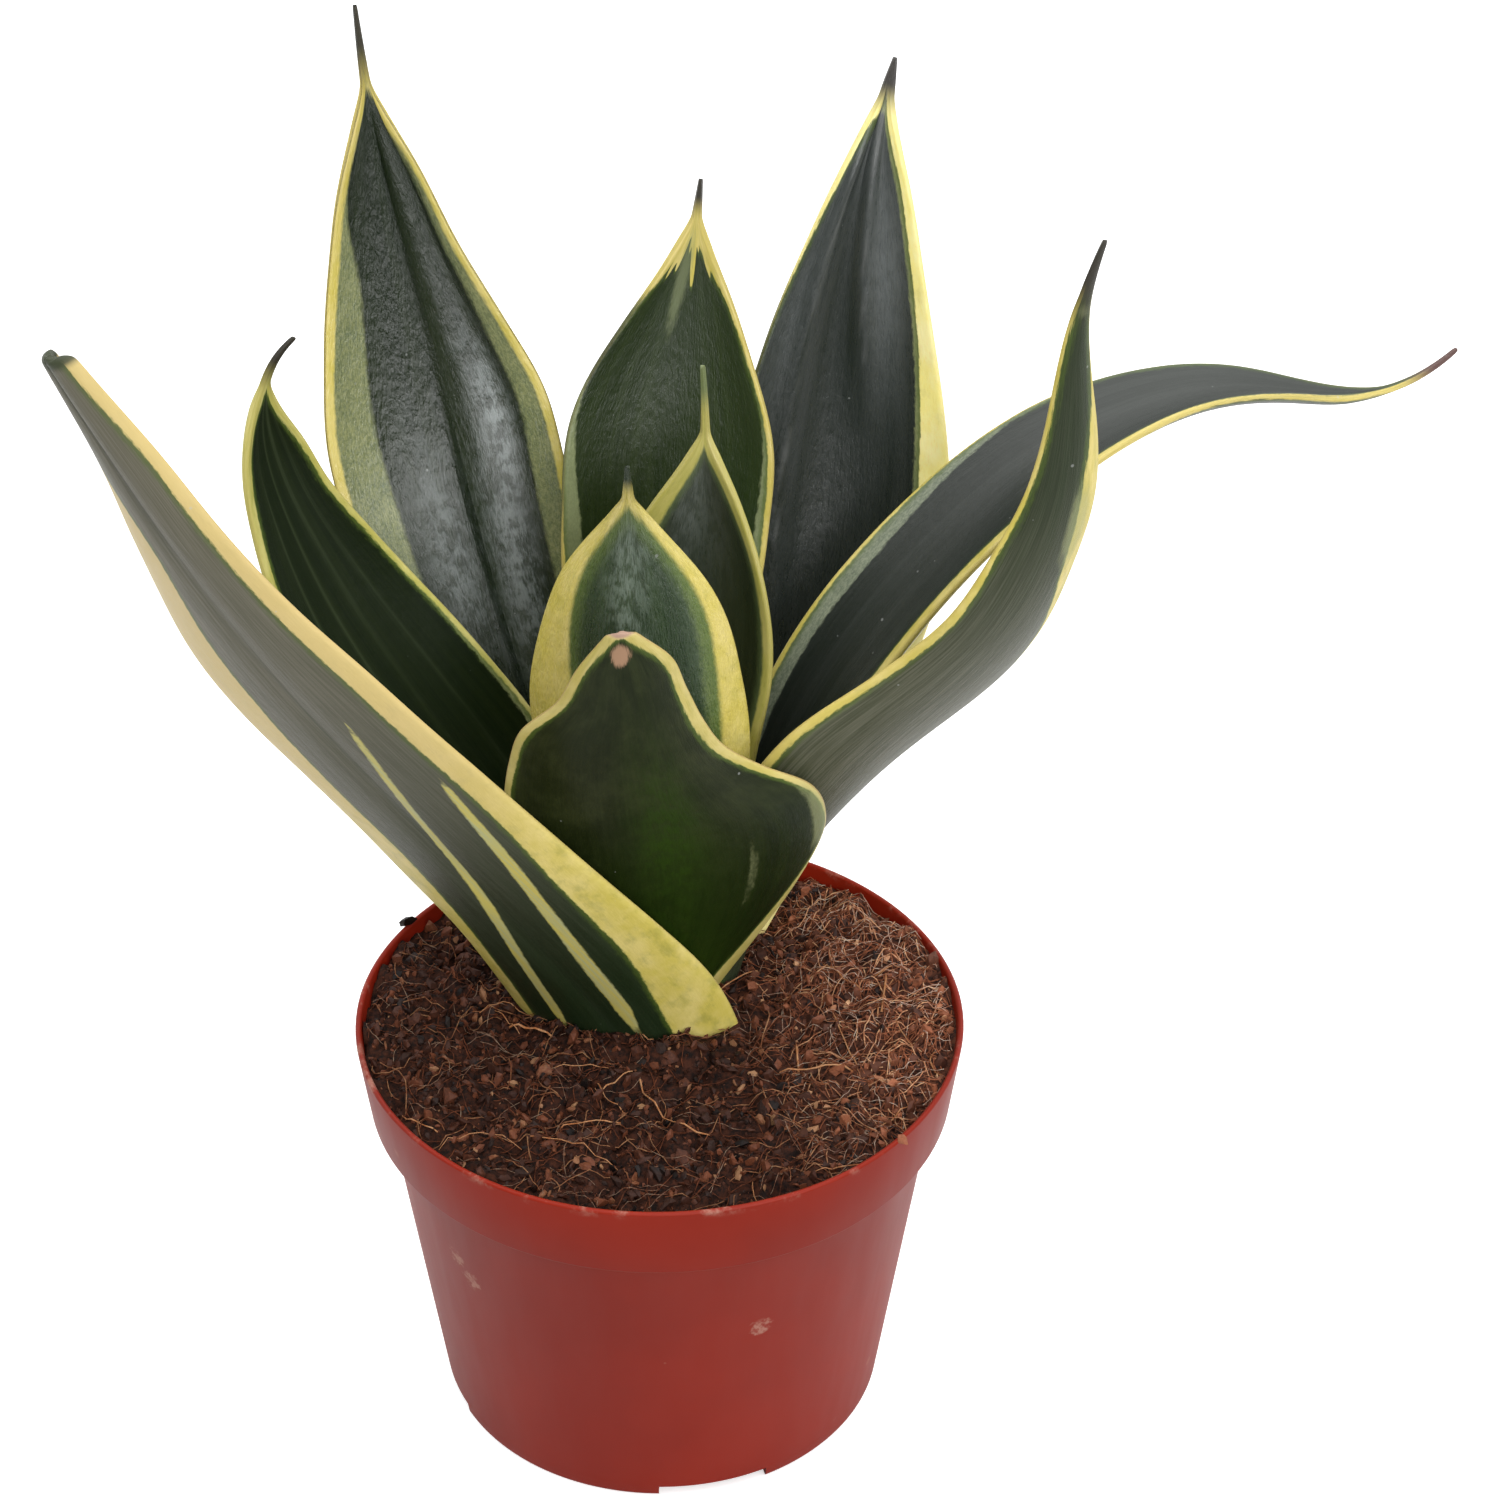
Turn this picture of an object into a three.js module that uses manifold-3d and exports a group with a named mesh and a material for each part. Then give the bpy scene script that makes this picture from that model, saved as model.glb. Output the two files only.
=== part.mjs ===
// A potted snake plant: ten short, broad, pointed leaves that rise from one crown, in a round
// plastic nursery pot filled with coir potting mix. Millimetres, +Z up. The origin is the centre of
// the pot's underside, on the surface that the pot stands on. -Y is the front, and +X is the right
// as seen from the front.

import * as THREE from 'three';
import { mergeVertices } from 'three/addons/utils/BufferGeometryUtils.js';
import Module from 'manifold-3d';

const wasm = await Module();
wasm.setup();

const clearance = 0.35; // between the pot, the soil and the leaves
const mergeWithin = 1e-4;
const cutTolerance = 0.03; // slivers that the cuts leave are merged within it

// Pot
const potHeight = 87;
const rimRadius = 60;
const collarHeight = 16.5; // straight band under the rim
const collarFootRadius = 57.7;
const shoulderRadius = 54.5; // top of the wall, set in under the collar
const footRadius = 44.5;
const wall = 1.2;
const lip = 0.4; // bevel along the rim's edges
const footBevel = 0.7;
const floorTop = 4.5;
const padRadius = 14; // flat centre of the underside
const channelHeight = 3; // hollow between the centre and the foot ring
const channelSlope = 2;
const footRingWidth = 6.5;
const innerFootRadius = 44; // of the inside, at its floor
const notchWidth = 22; // drain notches through the foot ring
const notchHeight = 2.8;
const notchCount = 4;
const firstNotch = 283; // azimuth of the notch at the front
const drainHoleRadius = 4;
const drainHoleRing = 26;
const potSegments = 56;
const holeSegments = 12;

// Soil
const soilHeight = 82;
const soilUnevenness = 1.1;
const soilWaves = [ // share of the unevenness, length along X and Y, and phase
  { share: 0.5, x: 9, y: 17, phase: 1 },
  { share: 0.35, x: -21, y: 8, phase: 0 },
  { share: 0.25, x: 5.5, y: 5.5, phase: 2 },
];
const soilSegments = 48;
const soilRings = 6;

// Leaves. Each one is a cupped blade along a bent spine that starts in the soil at the crown.
const crown = { x: -2, y: 19 };
const rootHeight = 66; // where the leaves start, inside the soil
const edgeThickness = 0.8;
const coreThickness = [3.0, 2.8, 2.4, 2.0, 1.6, 1.3]; // added along the middle, from base to tip
const tipHalfWidth = 0.35;
const tightestArc = 1.6; // radius that a section's arc is never tighter than
const thinBelow = 3; // half width under which the blade gets thinner
const faceTilt = 0.35; // how far the outer face looks down
const spineSteps = 96;
const bladeSections = 22;
const spikeSections = 2;
const sectionPoints = 7;
const slotSections = 5; // of the blade's sections, how many the slot in the soil spans

// Angles are in degrees and azimuths turn from +X to +Y. Every list holds evenly spaced values from
// the base to the tip; the widths stop where the spike starts.
//   seat, ring   where the leaf stands on the crown
//   length       along the spine, with the spike
//   lean         of the spine, away from the vertical
//   heading      azimuth that the spine leans towards
//   face         azimuth that the outer face looks towards
//   right, left  widths from the spine to each margin, as seen from outside the rosette
//   cup          half the angle that the blade's arc spans
const leaves = {
  leaf_left_front: {
    seat: 275, ring: 17.3, length: 208, spike: 1.5,
    lean: [22, 32, 35, 33, 28, 24],
    heading: [202, 201, 196, 190, 184, 182],
    face: [268, 260, 254, 250, 245, 238, 225],
    right: [20, 22.5, 21.5, 20.5, 19.5, 19, 17, 13.5, 10.5, 8.5, 5],
    left: [19, 21, 21.5, 19.5, 18.5, 20, 21.5, 23.5, 20.5, 11.5, 5.5],
    cup: [36, 32, 26, 22, 26, 50, 80],
  },
  leaf_left: {
    seat: 180, ring: 12, length: 172, spike: 13,
    lean: [8, 23, 32, 32, 25, 10, -45],
    heading: [172, 170, 168, 166, 164, 160],
    face: [178, 158, 142, 135, 130, 130],
    right: [6, 8.5, 11, 15, 19, 20.5, 21, 19.5, 17, 14, 10.5, 7.5, 1],
    left: [5, 8, 12, 17.5, 22, 22, 21, 19.5, 17, 14, 10.5, 7.5, 1],
    cup: [50, 45, 35, 30, 30, 40, 60],
  },
  leaf_tall_left: {
    seat: 133, ring: 13, length: 210, spike: 16,
    lean: [19, 25, 24, 20, 17, 8],
    heading: [130, 131, 130, 128, 126, 124],
    face: [135, 120, 105, 100, 100, 100],
    right: [5, 7, 10, 15, 20, 22, 23, 23.5, 23.5, 20, 15, 9.5, 0.9],
    left: [5, 8, 12, 16.5, 20, 21.5, 22.5, 23, 22.5, 18, 12.5, 7.5, 0.9],
    cup: [45, 40, 30, 25, 30, 40, 60],
  },
  leaf_back: {
    seat: 84, ring: 11, length: 172, spike: 8,
    lean: [7, 12, 17, 19, 19, 10],
    heading: [84, 86, 86, 80, 66, 55],
    face: [92, 92],
    right: [6, 10, 14, 17, 19, 21, 21, 12.5, 0.9],
    left: [6, 10, 14, 17, 19, 21, 21, 12.5, 0.9],
    cup: [45, 40, 30, 25, 30, 40, 60],
  },
  leaf_tall_right: {
    seat: 48, ring: 16, length: 198, spike: 8,
    lean: [28, 31, 22, 16, 12, 19],
    heading: [38, 50, 65, 70, 64, 48],
    face: [55, 70, 80, 85, 85, 85],
    right: [6, 7.5, 9.5, 13, 18, 23, 26, 25, 22, 18, 13, 8, 1.5],
    left: [5, 7, 9.5, 13, 17, 21, 24, 23.5, 21, 17.5, 13, 8, 1.5],
    cup: [45, 40, 35, 30, 35, 40, 60],
  },
  leaf_long_right: {
    seat: 18, ring: 13, length: 231, spike: 16,
    lean: [10, 14, 26, 38, 51, 77, 103, 48],
    heading: [20, 17, 15, 15, 15, 15],
    face: [20, 28, 25, 20, 15, 15],
    right: [5, 8, 14, 15, 13, 8, 1],
    left: [3.5, 5, 12, 15, 13, 8, 1],
    cup: [50, 45, 40, 35, 35, 40, 60],
  },
  leaf_right_front: {
    seat: 343, ring: 13, length: 205, spike: 12,
    lean: [4, 18, 35, 41, 19, -2, 18],
    heading: [358, 356, 352, 348, 347, 345],
    face: [325, 308, 300, 295, 290, 288],
    right: [4, 5.5, 8.5, 15.5, 19, 19.5, 15.5, 10, 7, 4.5, 1.2],
    left: [4, 4.5, 8.5, 16, 18.5, 14.5, 12.5, 11, 7.5, 4, 1.2],
    cup: [45, 40, 35, 30, 30, 40, 60],
  },
  leaf_centre_front: {
    seat: 258, ring: 3.5, length: 140, spike: 7,
    lean: [3, 5, 5, 3, 0, 0],
    heading: [262, 250, 240, 225],
    face: [262, 262],
    right: [7, 11, 17, 22.5, 22.5, 16.5, 1],
    left: [7, 11, 17, 22.5, 22.5, 16.5, 1],
    cup: [45, 50, 50, 45, 45, 50, 60],
  },
  leaf_centre_back: {
    seat: 72, ring: 5.5, length: 148, spike: 15,
    lean: [4, 9, 9, 6, 0, -4],
    heading: [45, 45],
    face: [75, 75, 70, 70, 70],
    right: [7, 9, 13, 17, 18.5, 14.5, 0.8],
    left: [7, 9, 13, 17, 18.5, 14.5, 0.8],
    cup: [45, 50, 50, 45, 45, 50, 60],
  },
  leaf_front: {
    seat: 275, ring: 12.4, length: 122, spike: 1,
    lean: [4, 10, 14, 13, 12, 10],
    heading: [285, 282, 264, 246, 238, 235],
    face: [272, 276, 278, 275, 275],
    right: [11, 11, 11.5, 16.5, 22.5, 29, 33.5, 35, 32.5, 23.5, 16.5, 13, 11, 9, 3],
    left: [11, 13, 18, 22, 24.5, 26.5, 28, 28.5, 28.5, 28, 26.5, 23, 14.5, 9.5, 3],
    cup: [45, 40, 34, 28, 28, 34, 36, 30],
  },
};

const rad = THREE.MathUtils.degToRad;
const { clamp, lerp } = THREE.MathUtils;

const potPlastic = new THREE.MeshStandardMaterial({ color: 0x8a3b2c, roughness: 0.55 });
const potSoil = new THREE.MeshStandardMaterial({ color: 0x4a2e22, roughness: 0.95 });
const leafSkin = new THREE.MeshStandardMaterial({ color: 0x2f3a26, roughness: 0.45 });

// Smooth value at s (0 to 1) through evenly spaced values.
function along(values, s) {
  const last = values.length - 1;
  const x = clamp(s, 0, 1) * last;
  const i = Math.min(Math.floor(x), last - 1);
  const b = values[i];
  const c = values[i + 1];
  const a = i > 0 ? values[i - 1] : 2 * b - c;
  const d = i < last - 1 ? values[i + 2] : 2 * c - b;
  const u = x - i;
  return 0.5 * (2 * b + (c - a) * u + (2 * a - 5 * b + 4 * c - d) * u ** 2
    + (3 * b - a - 3 * c + d) * u ** 3);
}

function tangent(leaf, s) {
  const lean = rad(along(leaf.lean, s));
  const heading = rad(along(leaf.heading, s));
  return new THREE.Vector3(
    Math.sin(lean) * Math.cos(heading),
    Math.sin(lean) * Math.sin(heading),
    Math.cos(lean),
  );
}

// Points of the spine, the tangent summed in even steps.
function spine(leaf) {
  const seat = rad(leaf.seat);
  const point = new THREE.Vector3(
    crown.x + leaf.ring * Math.cos(seat),
    crown.y + leaf.ring * Math.sin(seat),
    rootHeight,
  );
  const points = [point.clone()];
  for (let i = 0; i < spineSteps; i += 1) {
    point.addScaledVector(tangent(leaf, (i + 0.5) / spineSteps), leaf.length / spineSteps);
    points.push(point.clone());
  }
  return points;
}

function spinePoint(points, s) {
  const x = s * spineSteps;
  const i = Math.min(Math.floor(x), spineSteps - 1);
  return points[i].clone().lerp(points[i + 1], x - i);
}

// Inner and outer points of one cross-section, from the right margin to the left one. The section is
// an arc that opens inwards, thickest in the middle; `extra` grows it all round.
function section(leaf, points, s, extra) {
  const spikeStart = 1 - leaf.spike / leaf.length;
  const blade = Math.min(s / spikeStart, 1);
  const spike = clamp((s - spikeStart) / (1 - spikeStart), 0, 1);
  const right = lerp(along(leaf.right, blade), tipHalfWidth, spike);
  const left = lerp(along(leaf.left, blade), tipHalfWidth, spike);
  const width = Math.min(right, left);
  const cup = Math.min(rad(along(leaf.cup, blade)), width / tightestArc);
  const core = along(coreThickness, s) * Math.min(1, width / thinBelow);

  const up = tangent(leaf, s);
  const face = rad(along(leaf.face, s));
  const inward = new THREE.Vector3(-Math.cos(face), -Math.sin(face), faceTilt);
  inward.addScaledVector(up, -inward.dot(up)).normalize();
  const side = new THREE.Vector3().crossVectors(up, inward);
  const origin = spinePoint(points, s);

  const inner = [];
  const outer = [];
  for (let i = 0; i < sectionPoints; i += 1) {
    const t = (2 * i) / (sectionPoints - 1) - 1;
    const radius = ((t < 0 ? right : left) + extra * Math.abs(t)) / cup;
    const angle = cup * t;
    const middle = origin.clone()
      .addScaledVector(side, radius * Math.sin(angle))
      .addScaledVector(inward, radius * (1 - Math.cos(angle)));
    const across = inward.clone().multiplyScalar(Math.cos(angle))
      .addScaledVector(side, -Math.sin(angle));
    const half = (core * Math.sqrt(1 - t * t) + edgeThickness) / 2 + extra;
    inner.push(middle.clone().addScaledVector(across, half));
    outer.push(middle.addScaledVector(across, -half));
  }
  return [inner, outer.reverse()].flat();
}

// Closed body through a list of rings with the same number of points.
function loft(rings) {
  const count = rings[0].length;
  const half = count / 2;
  const position = rings.flat().flatMap((p) => [p.x, p.y, p.z]);
  const index = [];
  const quad = (a, b, c, d) => index.push(a, c, b, a, d, c);
  for (let i = 0; i + 1 < rings.length; i += 1) {
    for (let j = 0; j < count; j += 1) {
      const next = (j + 1) % count;
      quad(i * count + j, (i + 1) * count + j, (i + 1) * count + next, i * count + next);
    }
  }
  const end = (rings.length - 1) * count;
  for (let j = 0; j + 1 < half; j += 1) {
    quad(j, j + 1, count - 2 - j, count - 1 - j);
    quad(end + j, end + count - 1 - j, end + count - 2 - j, end + j + 1);
  }
  const geometry = new THREE.BufferGeometry();
  geometry.setAttribute('position', new THREE.Float32BufferAttribute(position, 3));
  geometry.setIndex(index);
  return geometry;
}

function leafGeometry(leaf) {
  const points = spine(leaf);
  const spikeStart = 1 - leaf.spike / leaf.length;
  const rings = [];
  for (let i = 0; i <= bladeSections + spikeSections; i += 1) {
    const s = i <= bladeSections
      ? (spikeStart * i) / bladeSections
      : lerp(spikeStart, 1, (i - bladeSections) / spikeSections);
    rings.push(section(leaf, points, s, 0));
  }
  return loft(rings);
}

// The slot that a leaf's base needs in the soil: its sections grown by the clearance, from just
// below the base to well above the soil.
function slotGeometry(leaf) {
  const points = spine(leaf);
  const spikeStart = 1 - leaf.spike / leaf.length;
  const rings = [];
  for (let i = 0; i <= slotSections; i += 1) {
    rings.push(section(leaf, points, (spikeStart * i) / bladeSections, clearance));
  }
  const down = tangent(leaf, 0).multiplyScalar(-clearance);
  rings[0] = rings[0].map((p) => p.add(down));
  return loft(rings);
}

function solid(geometry) {
  const bare = geometry.clone();
  bare.deleteAttribute('normal');
  bare.deleteAttribute('uv');
  const merged = mergeVertices(bare, mergeWithin);
  return new wasm.Manifold(new wasm.Mesh({
    numProp: 3,
    vertProperties: new Float32Array(merged.attributes.position.array),
    triVerts: new Uint32Array(merged.index.array),
  }));
}

function geometryOf(body) {
  const mesh = body.getMesh();
  const geometry = new THREE.BufferGeometry();
  geometry.setAttribute('position', new THREE.Float32BufferAttribute(mesh.vertProperties, 3));
  geometry.setIndex(Array.from(mesh.triVerts));
  return geometry;
}

function lathe(profile, segments) {
  const turned = new THREE.LatheGeometry(profile.map(([r, z]) => new THREE.Vector2(r, z)), segments);
  return turned.rotateX(Math.PI / 2);
}

function potGeometry() {
  const collarFoot = potHeight - collarHeight;
  const ringInner = footRadius - footRingWidth;
  const body = solid(lathe([
    [0, 0],
    [padRadius, 0],
    [padRadius + channelSlope, channelHeight],
    [ringInner - channelSlope, channelHeight],
    [ringInner, 0],
    [footRadius - footBevel, 0],
    [footRadius, footBevel],
    [shoulderRadius, collarFoot],
    [collarFootRadius - lip, collarFoot],
    [collarFootRadius, collarFoot + lip],
    [rimRadius, potHeight - lip],
    [rimRadius - lip, potHeight],
    [rimRadius - wall + lip, potHeight],
    [rimRadius - wall, potHeight - lip],
    [collarFootRadius - wall, collarFoot + wall],
    [shoulderRadius - wall, collarFoot + wall],
    [innerFootRadius, floorTop],
    [0, floorTop],
  ], potSegments));

  let pot = body;
  for (let i = 0; i < notchCount; i += 1) {
    const azimuth = firstNotch + (i * 360) / notchCount;
    const notch = new THREE.BoxGeometry(3 * footRingWidth, notchWidth, 2 * notchHeight);
    notch.translate(footRadius - footRingWidth / 2, 0, 0).rotateZ(rad(azimuth));
    pot = pot.subtract(solid(notch));
    const hole = new THREE.CylinderGeometry(drainHoleRadius, drainHoleRadius, 4 * floorTop, holeSegments);
    hole.rotateX(Math.PI / 2).translate(drainHoleRing, 0, 0);
    hole.rotateZ(rad(azimuth + 180 / notchCount));
    pot = pot.subtract(solid(hole));
  }
  return geometryOf(pot);
}

// Height of the soil's surface: level, with shallow waves.
function soilSurface(x, y) {
  const rise = soilWaves.reduce(
    (sum, wave) => sum + wave.share * Math.sin(x / wave.x + y / wave.y + wave.phase),
    0,
  );
  return soilHeight + soilUnevenness * rise;
}

function soilGeometry() {
  const collarFoot = potHeight - collarHeight;
  const innerFoot = innerFootRadius - clearance;
  const innerShoulder = shoulderRadius - wall - clearance;
  const step = collarFoot + wall + clearance;
  const innerCollar = collarFootRadius - wall - clearance;
  const edge = lerp(innerCollar, rimRadius - wall - clearance,
    (soilHeight - soilUnevenness - step) / (potHeight - step));
  const profile = [
    [0, floorTop + clearance],
    [innerFoot, floorTop + clearance],
    [innerShoulder, step],
    [innerCollar, step],
  ];
  for (let i = soilRings; i >= 0; i -= 1) profile.push([(edge * i) / soilRings, soilHeight]);
  const plug = lathe(profile, soilSegments);
  const { position } = plug.attributes;
  for (let i = 0; i < position.count; i += 1) {
    if (position.getZ(i) > step) {
      position.setZ(i, soilSurface(position.getX(i), position.getY(i)));
    }
  }
  let soil = solid(plug);
  for (const leaf of Object.values(leaves)) soil = soil.subtract(solid(slotGeometry(leaf)));
  // Two neighbouring slots can cut a crumb free: only the plug is kept.
  const [largest] = soil.decompose().sort((a, b) => b.volume() - a.volume());
  return geometryOf(largest.asOriginal().simplify(cutTolerance));
}

function piece(name, geometry, material) {
  geometry.computeVertexNormals();
  const mesh = new THREE.Mesh(geometry, material);
  mesh.name = name;
  return mesh;
}

const plant = new THREE.Group();
plant.add(piece('pot', potGeometry(), potPlastic));
plant.add(piece('soil', soilGeometry(), potSoil));
for (const [name, leaf] of Object.entries(leaves)) {
  plant.add(piece(name, leafGeometry(leaf), leafSkin));
}

export default plant;
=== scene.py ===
import math
import random

import bpy
import numpy as np
from mathutils import Euler, Matrix, Vector, noise


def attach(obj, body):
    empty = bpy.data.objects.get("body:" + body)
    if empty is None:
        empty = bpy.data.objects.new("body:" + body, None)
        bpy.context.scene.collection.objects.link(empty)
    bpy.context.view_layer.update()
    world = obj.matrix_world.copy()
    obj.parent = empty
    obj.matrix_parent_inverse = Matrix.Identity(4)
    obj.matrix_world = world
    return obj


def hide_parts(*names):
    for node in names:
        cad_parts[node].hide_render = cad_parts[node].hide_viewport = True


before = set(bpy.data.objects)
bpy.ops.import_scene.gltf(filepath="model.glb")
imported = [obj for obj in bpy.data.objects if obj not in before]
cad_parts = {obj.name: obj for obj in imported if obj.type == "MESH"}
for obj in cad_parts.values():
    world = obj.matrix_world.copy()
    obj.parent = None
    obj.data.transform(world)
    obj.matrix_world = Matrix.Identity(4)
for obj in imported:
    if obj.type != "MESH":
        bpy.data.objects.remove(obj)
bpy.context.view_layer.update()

mm = 0.001  # the settings are in millimetres and degrees, the scene in metres


# Camera and stage

view = {
    "place": (0, -600, 557),
    "down": 34.18,  # degrees below the horizon
    "right": 1.64,
    "roll": 0.47,
    "lens": 92.98,
    "near": 10,
}


def addCamera():
    bpy.ops.object.camera_add(location=Vector(view["place"]) * mm)
    camera = bpy.context.object
    turn = Matrix.Rotation(math.radians(-view["right"]), 3, "Z")
    turn = turn @ Matrix.Rotation(math.radians(90 - view["down"]), 3, "X")
    turn = turn @ Matrix.Rotation(math.radians(view["roll"]), 3, "Z")
    camera.rotation_euler = turn.to_euler()
    camera.data.lens = view["lens"]
    camera.data.clip_start = view["near"] * mm
    bpy.context.scene.camera = camera


# Modelling helpers

def deselectAll():
    bpy.ops.object.select_all(action="DESELECT")


def activate(obj):
    deselectAll()
    obj.select_set(True)
    bpy.context.view_layer.objects.active = obj


def applyModifiers(obj):
    activate(obj)
    for modifier in list(obj.modifiers):
        bpy.ops.object.modifier_apply(modifier=modifier.name)


def smooth(obj, angle=180):
    activate(obj)
    bpy.ops.object.shade_smooth_by_angle(angle=math.radians(angle))


def handOver(obj, name, cadNode, material):
    obj.name = name
    obj.data.name = name
    obj.data.materials.clear()
    obj.data.materials.append(material)
    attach(obj, "root")
    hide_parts(cadNode)


def moveVertices(mesh, places):
    mesh.vertices.foreach_set("co", np.asarray(places, float).ravel())
    mesh.update()


def vertexPlaces(mesh):
    places = np.empty(len(mesh.vertices) * 3)
    mesh.vertices.foreach_get("co", places)
    return places.reshape(-1, 3)


def setFloats(mesh, name, values):
    layer = mesh.attributes.get(name) or mesh.attributes.new(name, "FLOAT", "POINT")
    layer.data.foreach_set("value", np.asarray(values, float))


def getFloats(mesh, name):
    values = np.empty(len(mesh.vertices))
    mesh.attributes[name].data.foreach_get("value", values)
    return values


# Shader helpers

def addNode(tree, kind, inputs=None, **settings):
    made = tree.nodes.new(kind)
    for key, value in settings.items():
        setattr(made, key, value)
    for key, value in (inputs or {}).items():
        feed(tree, made.inputs[key], value)
    return made


def feed(tree, socket, value):
    if isinstance(value, bpy.types.NodeSocket):
        tree.links.new(value, socket)
    else:
        socket.default_value = value


def calc(tree, operation, *values):
    inputs = dict(enumerate(values))
    return addNode(tree, "ShaderNodeMath", inputs, operation=operation).outputs[0]


def blend(tree, share, first, second, mode="MIX"):
    inputs = {0: share, 6: first, 7: second}
    return addNode(tree, "ShaderNodeMix", inputs, data_type="RGBA", blend_type=mode).outputs[2]


def between(tree, value, low, high, start=0.0, end=1.0):
    inputs = {"Value": value, "From Min": low, "From Max": high, "To Min": start, "To Max": end}
    node = addNode(tree, "ShaderNodeMapRange", inputs, interpolation_type="SMOOTHSTEP")
    return node.outputs[0]


def stretch(tree, vector, scale, shift=(0, 0, 0)):
    inputs = {"Vector": vector, "Scale": scale, "Location": shift}
    return addNode(tree, "ShaderNodeMapping", inputs).outputs[0]


def noiseOf(tree, vector, scale, detail=3.0, roughness=0.55):
    inputs = {"Vector": vector, "Scale": scale, "Detail": detail, "Roughness": roughness}
    return addNode(tree, "ShaderNodeTexNoise", inputs).outputs["Fac"]


def attributeOf(tree, name):
    return addNode(tree, "ShaderNodeAttribute", attribute_name=name).outputs["Fac"]


def objectPlace(tree):
    return addNode(tree, "ShaderNodeTexCoord").outputs["Object"]


def newMaterial(name):
    material = bpy.data.materials.new(name)
    material.use_nodes = True
    return material, material.node_tree, material.node_tree.nodes["Principled BSDF"]


def newGroup(name, inputs, outputs):
    group = bpy.data.node_groups.new(name, "ShaderNodeTree")
    for title, kind in inputs.items():
        group.interface.new_socket(name=title, in_out="INPUT", socket_type=kind)
    for title, kind in outputs.items():
        group.interface.new_socket(name=title, in_out="OUTPUT", socket_type=kind)
    start = group.nodes.new("NodeGroupInput").outputs
    end = group.nodes.new("NodeGroupOutput").inputs
    return group, start, end


def place(tree, group, inputs):
    return addNode(tree, "ShaderNodeGroup", inputs, node_tree=group).outputs


# Effects that several materials use

def makeUnevenEdge():
    # A mask that is 1 where the signed depth (mm) is inside a band whose edge wanders
    group, given, out = newGroup(
        "unevenEdge",
        {"Depth": "NodeSocketFloat", "Skin": "NodeSocketVector", "Wander": "NodeSocketFloat",
         "Speckle": "NodeSocketFloat", "Softness": "NodeSocketFloat"},
        {"Mask": "NodeSocketFloat"})
    longWaves = noiseOf(group, stretch(group, given["Skin"], (0.25, 0.045, 1)), 1.0, 4.0)
    grain = noiseOf(group, stretch(group, given["Skin"], (1.6, 0.55, 1)), 1.0, 3.0, 0.7)
    wander = calc(group, "MULTIPLY", calc(group, "SUBTRACT", longWaves, 0.5), given["Wander"])
    speckle = calc(group, "MULTIPLY", calc(group, "SUBTRACT", grain, 0.5), given["Speckle"])
    depth = calc(group, "ADD", calc(group, "ADD", given["Depth"], wander), speckle)
    low = calc(group, "MULTIPLY", given["Softness"], -1.0)
    feed(group, out["Mask"], between(group, depth, low, given["Softness"]))
    return group


def makeSpecks():
    # Small round specks scattered over the surface
    group, given, out = newGroup(
        "specks",
        {"Place": "NodeSocketVector", "Scale": "NodeSocketFloat", "Share": "NodeSocketFloat"},
        {"Mask": "NodeSocketFloat"})
    cells = addNode(group, "ShaderNodeTexVoronoi", {"Vector": given["Place"], "Scale": given["Scale"]})
    chances = addNode(group, "ShaderNodeSeparateColor", {0: cells.outputs["Color"]}).outputs
    chosen = calc(group, "LESS_THAN", chances[0], given["Share"])
    size = calc(group, "MULTIPLY_ADD", chances[1], 0.22, 0.06)
    dot = between(group, cells.outputs["Distance"], size, calc(group, "MULTIPLY", size, 0.5))
    feed(group, out["Mask"], calc(group, "MULTIPLY", dot, chosen))
    return group


def makeFibres():
    # Lengthwise fibres under the leaf's skin, blotches, and the height of its scratches and wrinkles
    group, given, out = newGroup(
        "leafFibres", {"Skin": "NodeSocketVector"},
        {"Fine": "NodeSocketFloat", "Broad": "NodeSocketFloat", "Blotch": "NodeSocketFloat",
         "Scratch": "NodeSocketFloat", "Height": "NodeSocketFloat"})
    skin = given["Skin"]
    fine = noiseOf(group, stretch(group, skin, (2.2, 0.05, 1)), 1.0, 5.0, 0.6)
    broad = noiseOf(group, stretch(group, skin, (0.35, 0.012, 1)), 1.0, 3.0)
    blotch = noiseOf(group, stretch(group, skin, (0.16, 0.1, 1)), 1.0, 4.0, 0.65)
    scratch = noiseOf(group, stretch(group, skin, (2.4, 0.42, 1)), 1.0, 4.0, 0.65)
    wrinkles = noiseOf(group, stretch(group, skin, (0.45, 0.3, 1)), 1.0, 3.0, 0.6)
    height = calc(group, "MULTIPLY_ADD", scratch, 0.45, calc(group, "MULTIPLY", wrinkles, 0.55))
    made = {"Fine": fine, "Broad": broad, "Blotch": blotch, "Scratch": scratch, "Height": height}
    for title, value in made.items():
        feed(group, out[title], value)
    return group


# Leaves. Each one is a cupped blade along a bent spine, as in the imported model.

crown = {"place": (-2, 19), "height": 66, "faceTilt": 0.35}
blade = {
    "edge": 0.8,  # thickness at the margins
    "core": [3.0, 2.8, 2.4, 2.0, 1.6, 1.3],  # added along the middle, from base to tip
    "coreBelow": 3,  # half width under which the core thins out
    "foldsBelow": 8,  # and under which folds and waves fade
    "tightest": 1.6,  # smallest radius that a blade is cupped to
    "creaseFade": 0.1,  # share of the length over which a crease starts and ends
    "tipHalfWidth": 0.35,
    "columns": 28,
    "closer": 0.25,  # how much closer together the columns are at the margins
    "rows": 120,
    "rowsBelowSpike": 0.94,  # at most this share of the rows
    "spineSteps": 96,
    "outside": -5.0,  # depth where there is no mark
    "lineWidth": 0.6,
    "creaseWidth": 0.5,
    "creaseStart": 9,  # how fast the painted highlight on a crease thins out at its lower end
    "stripeEnds": 12,  # and a stripe at both its ends
}
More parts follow.
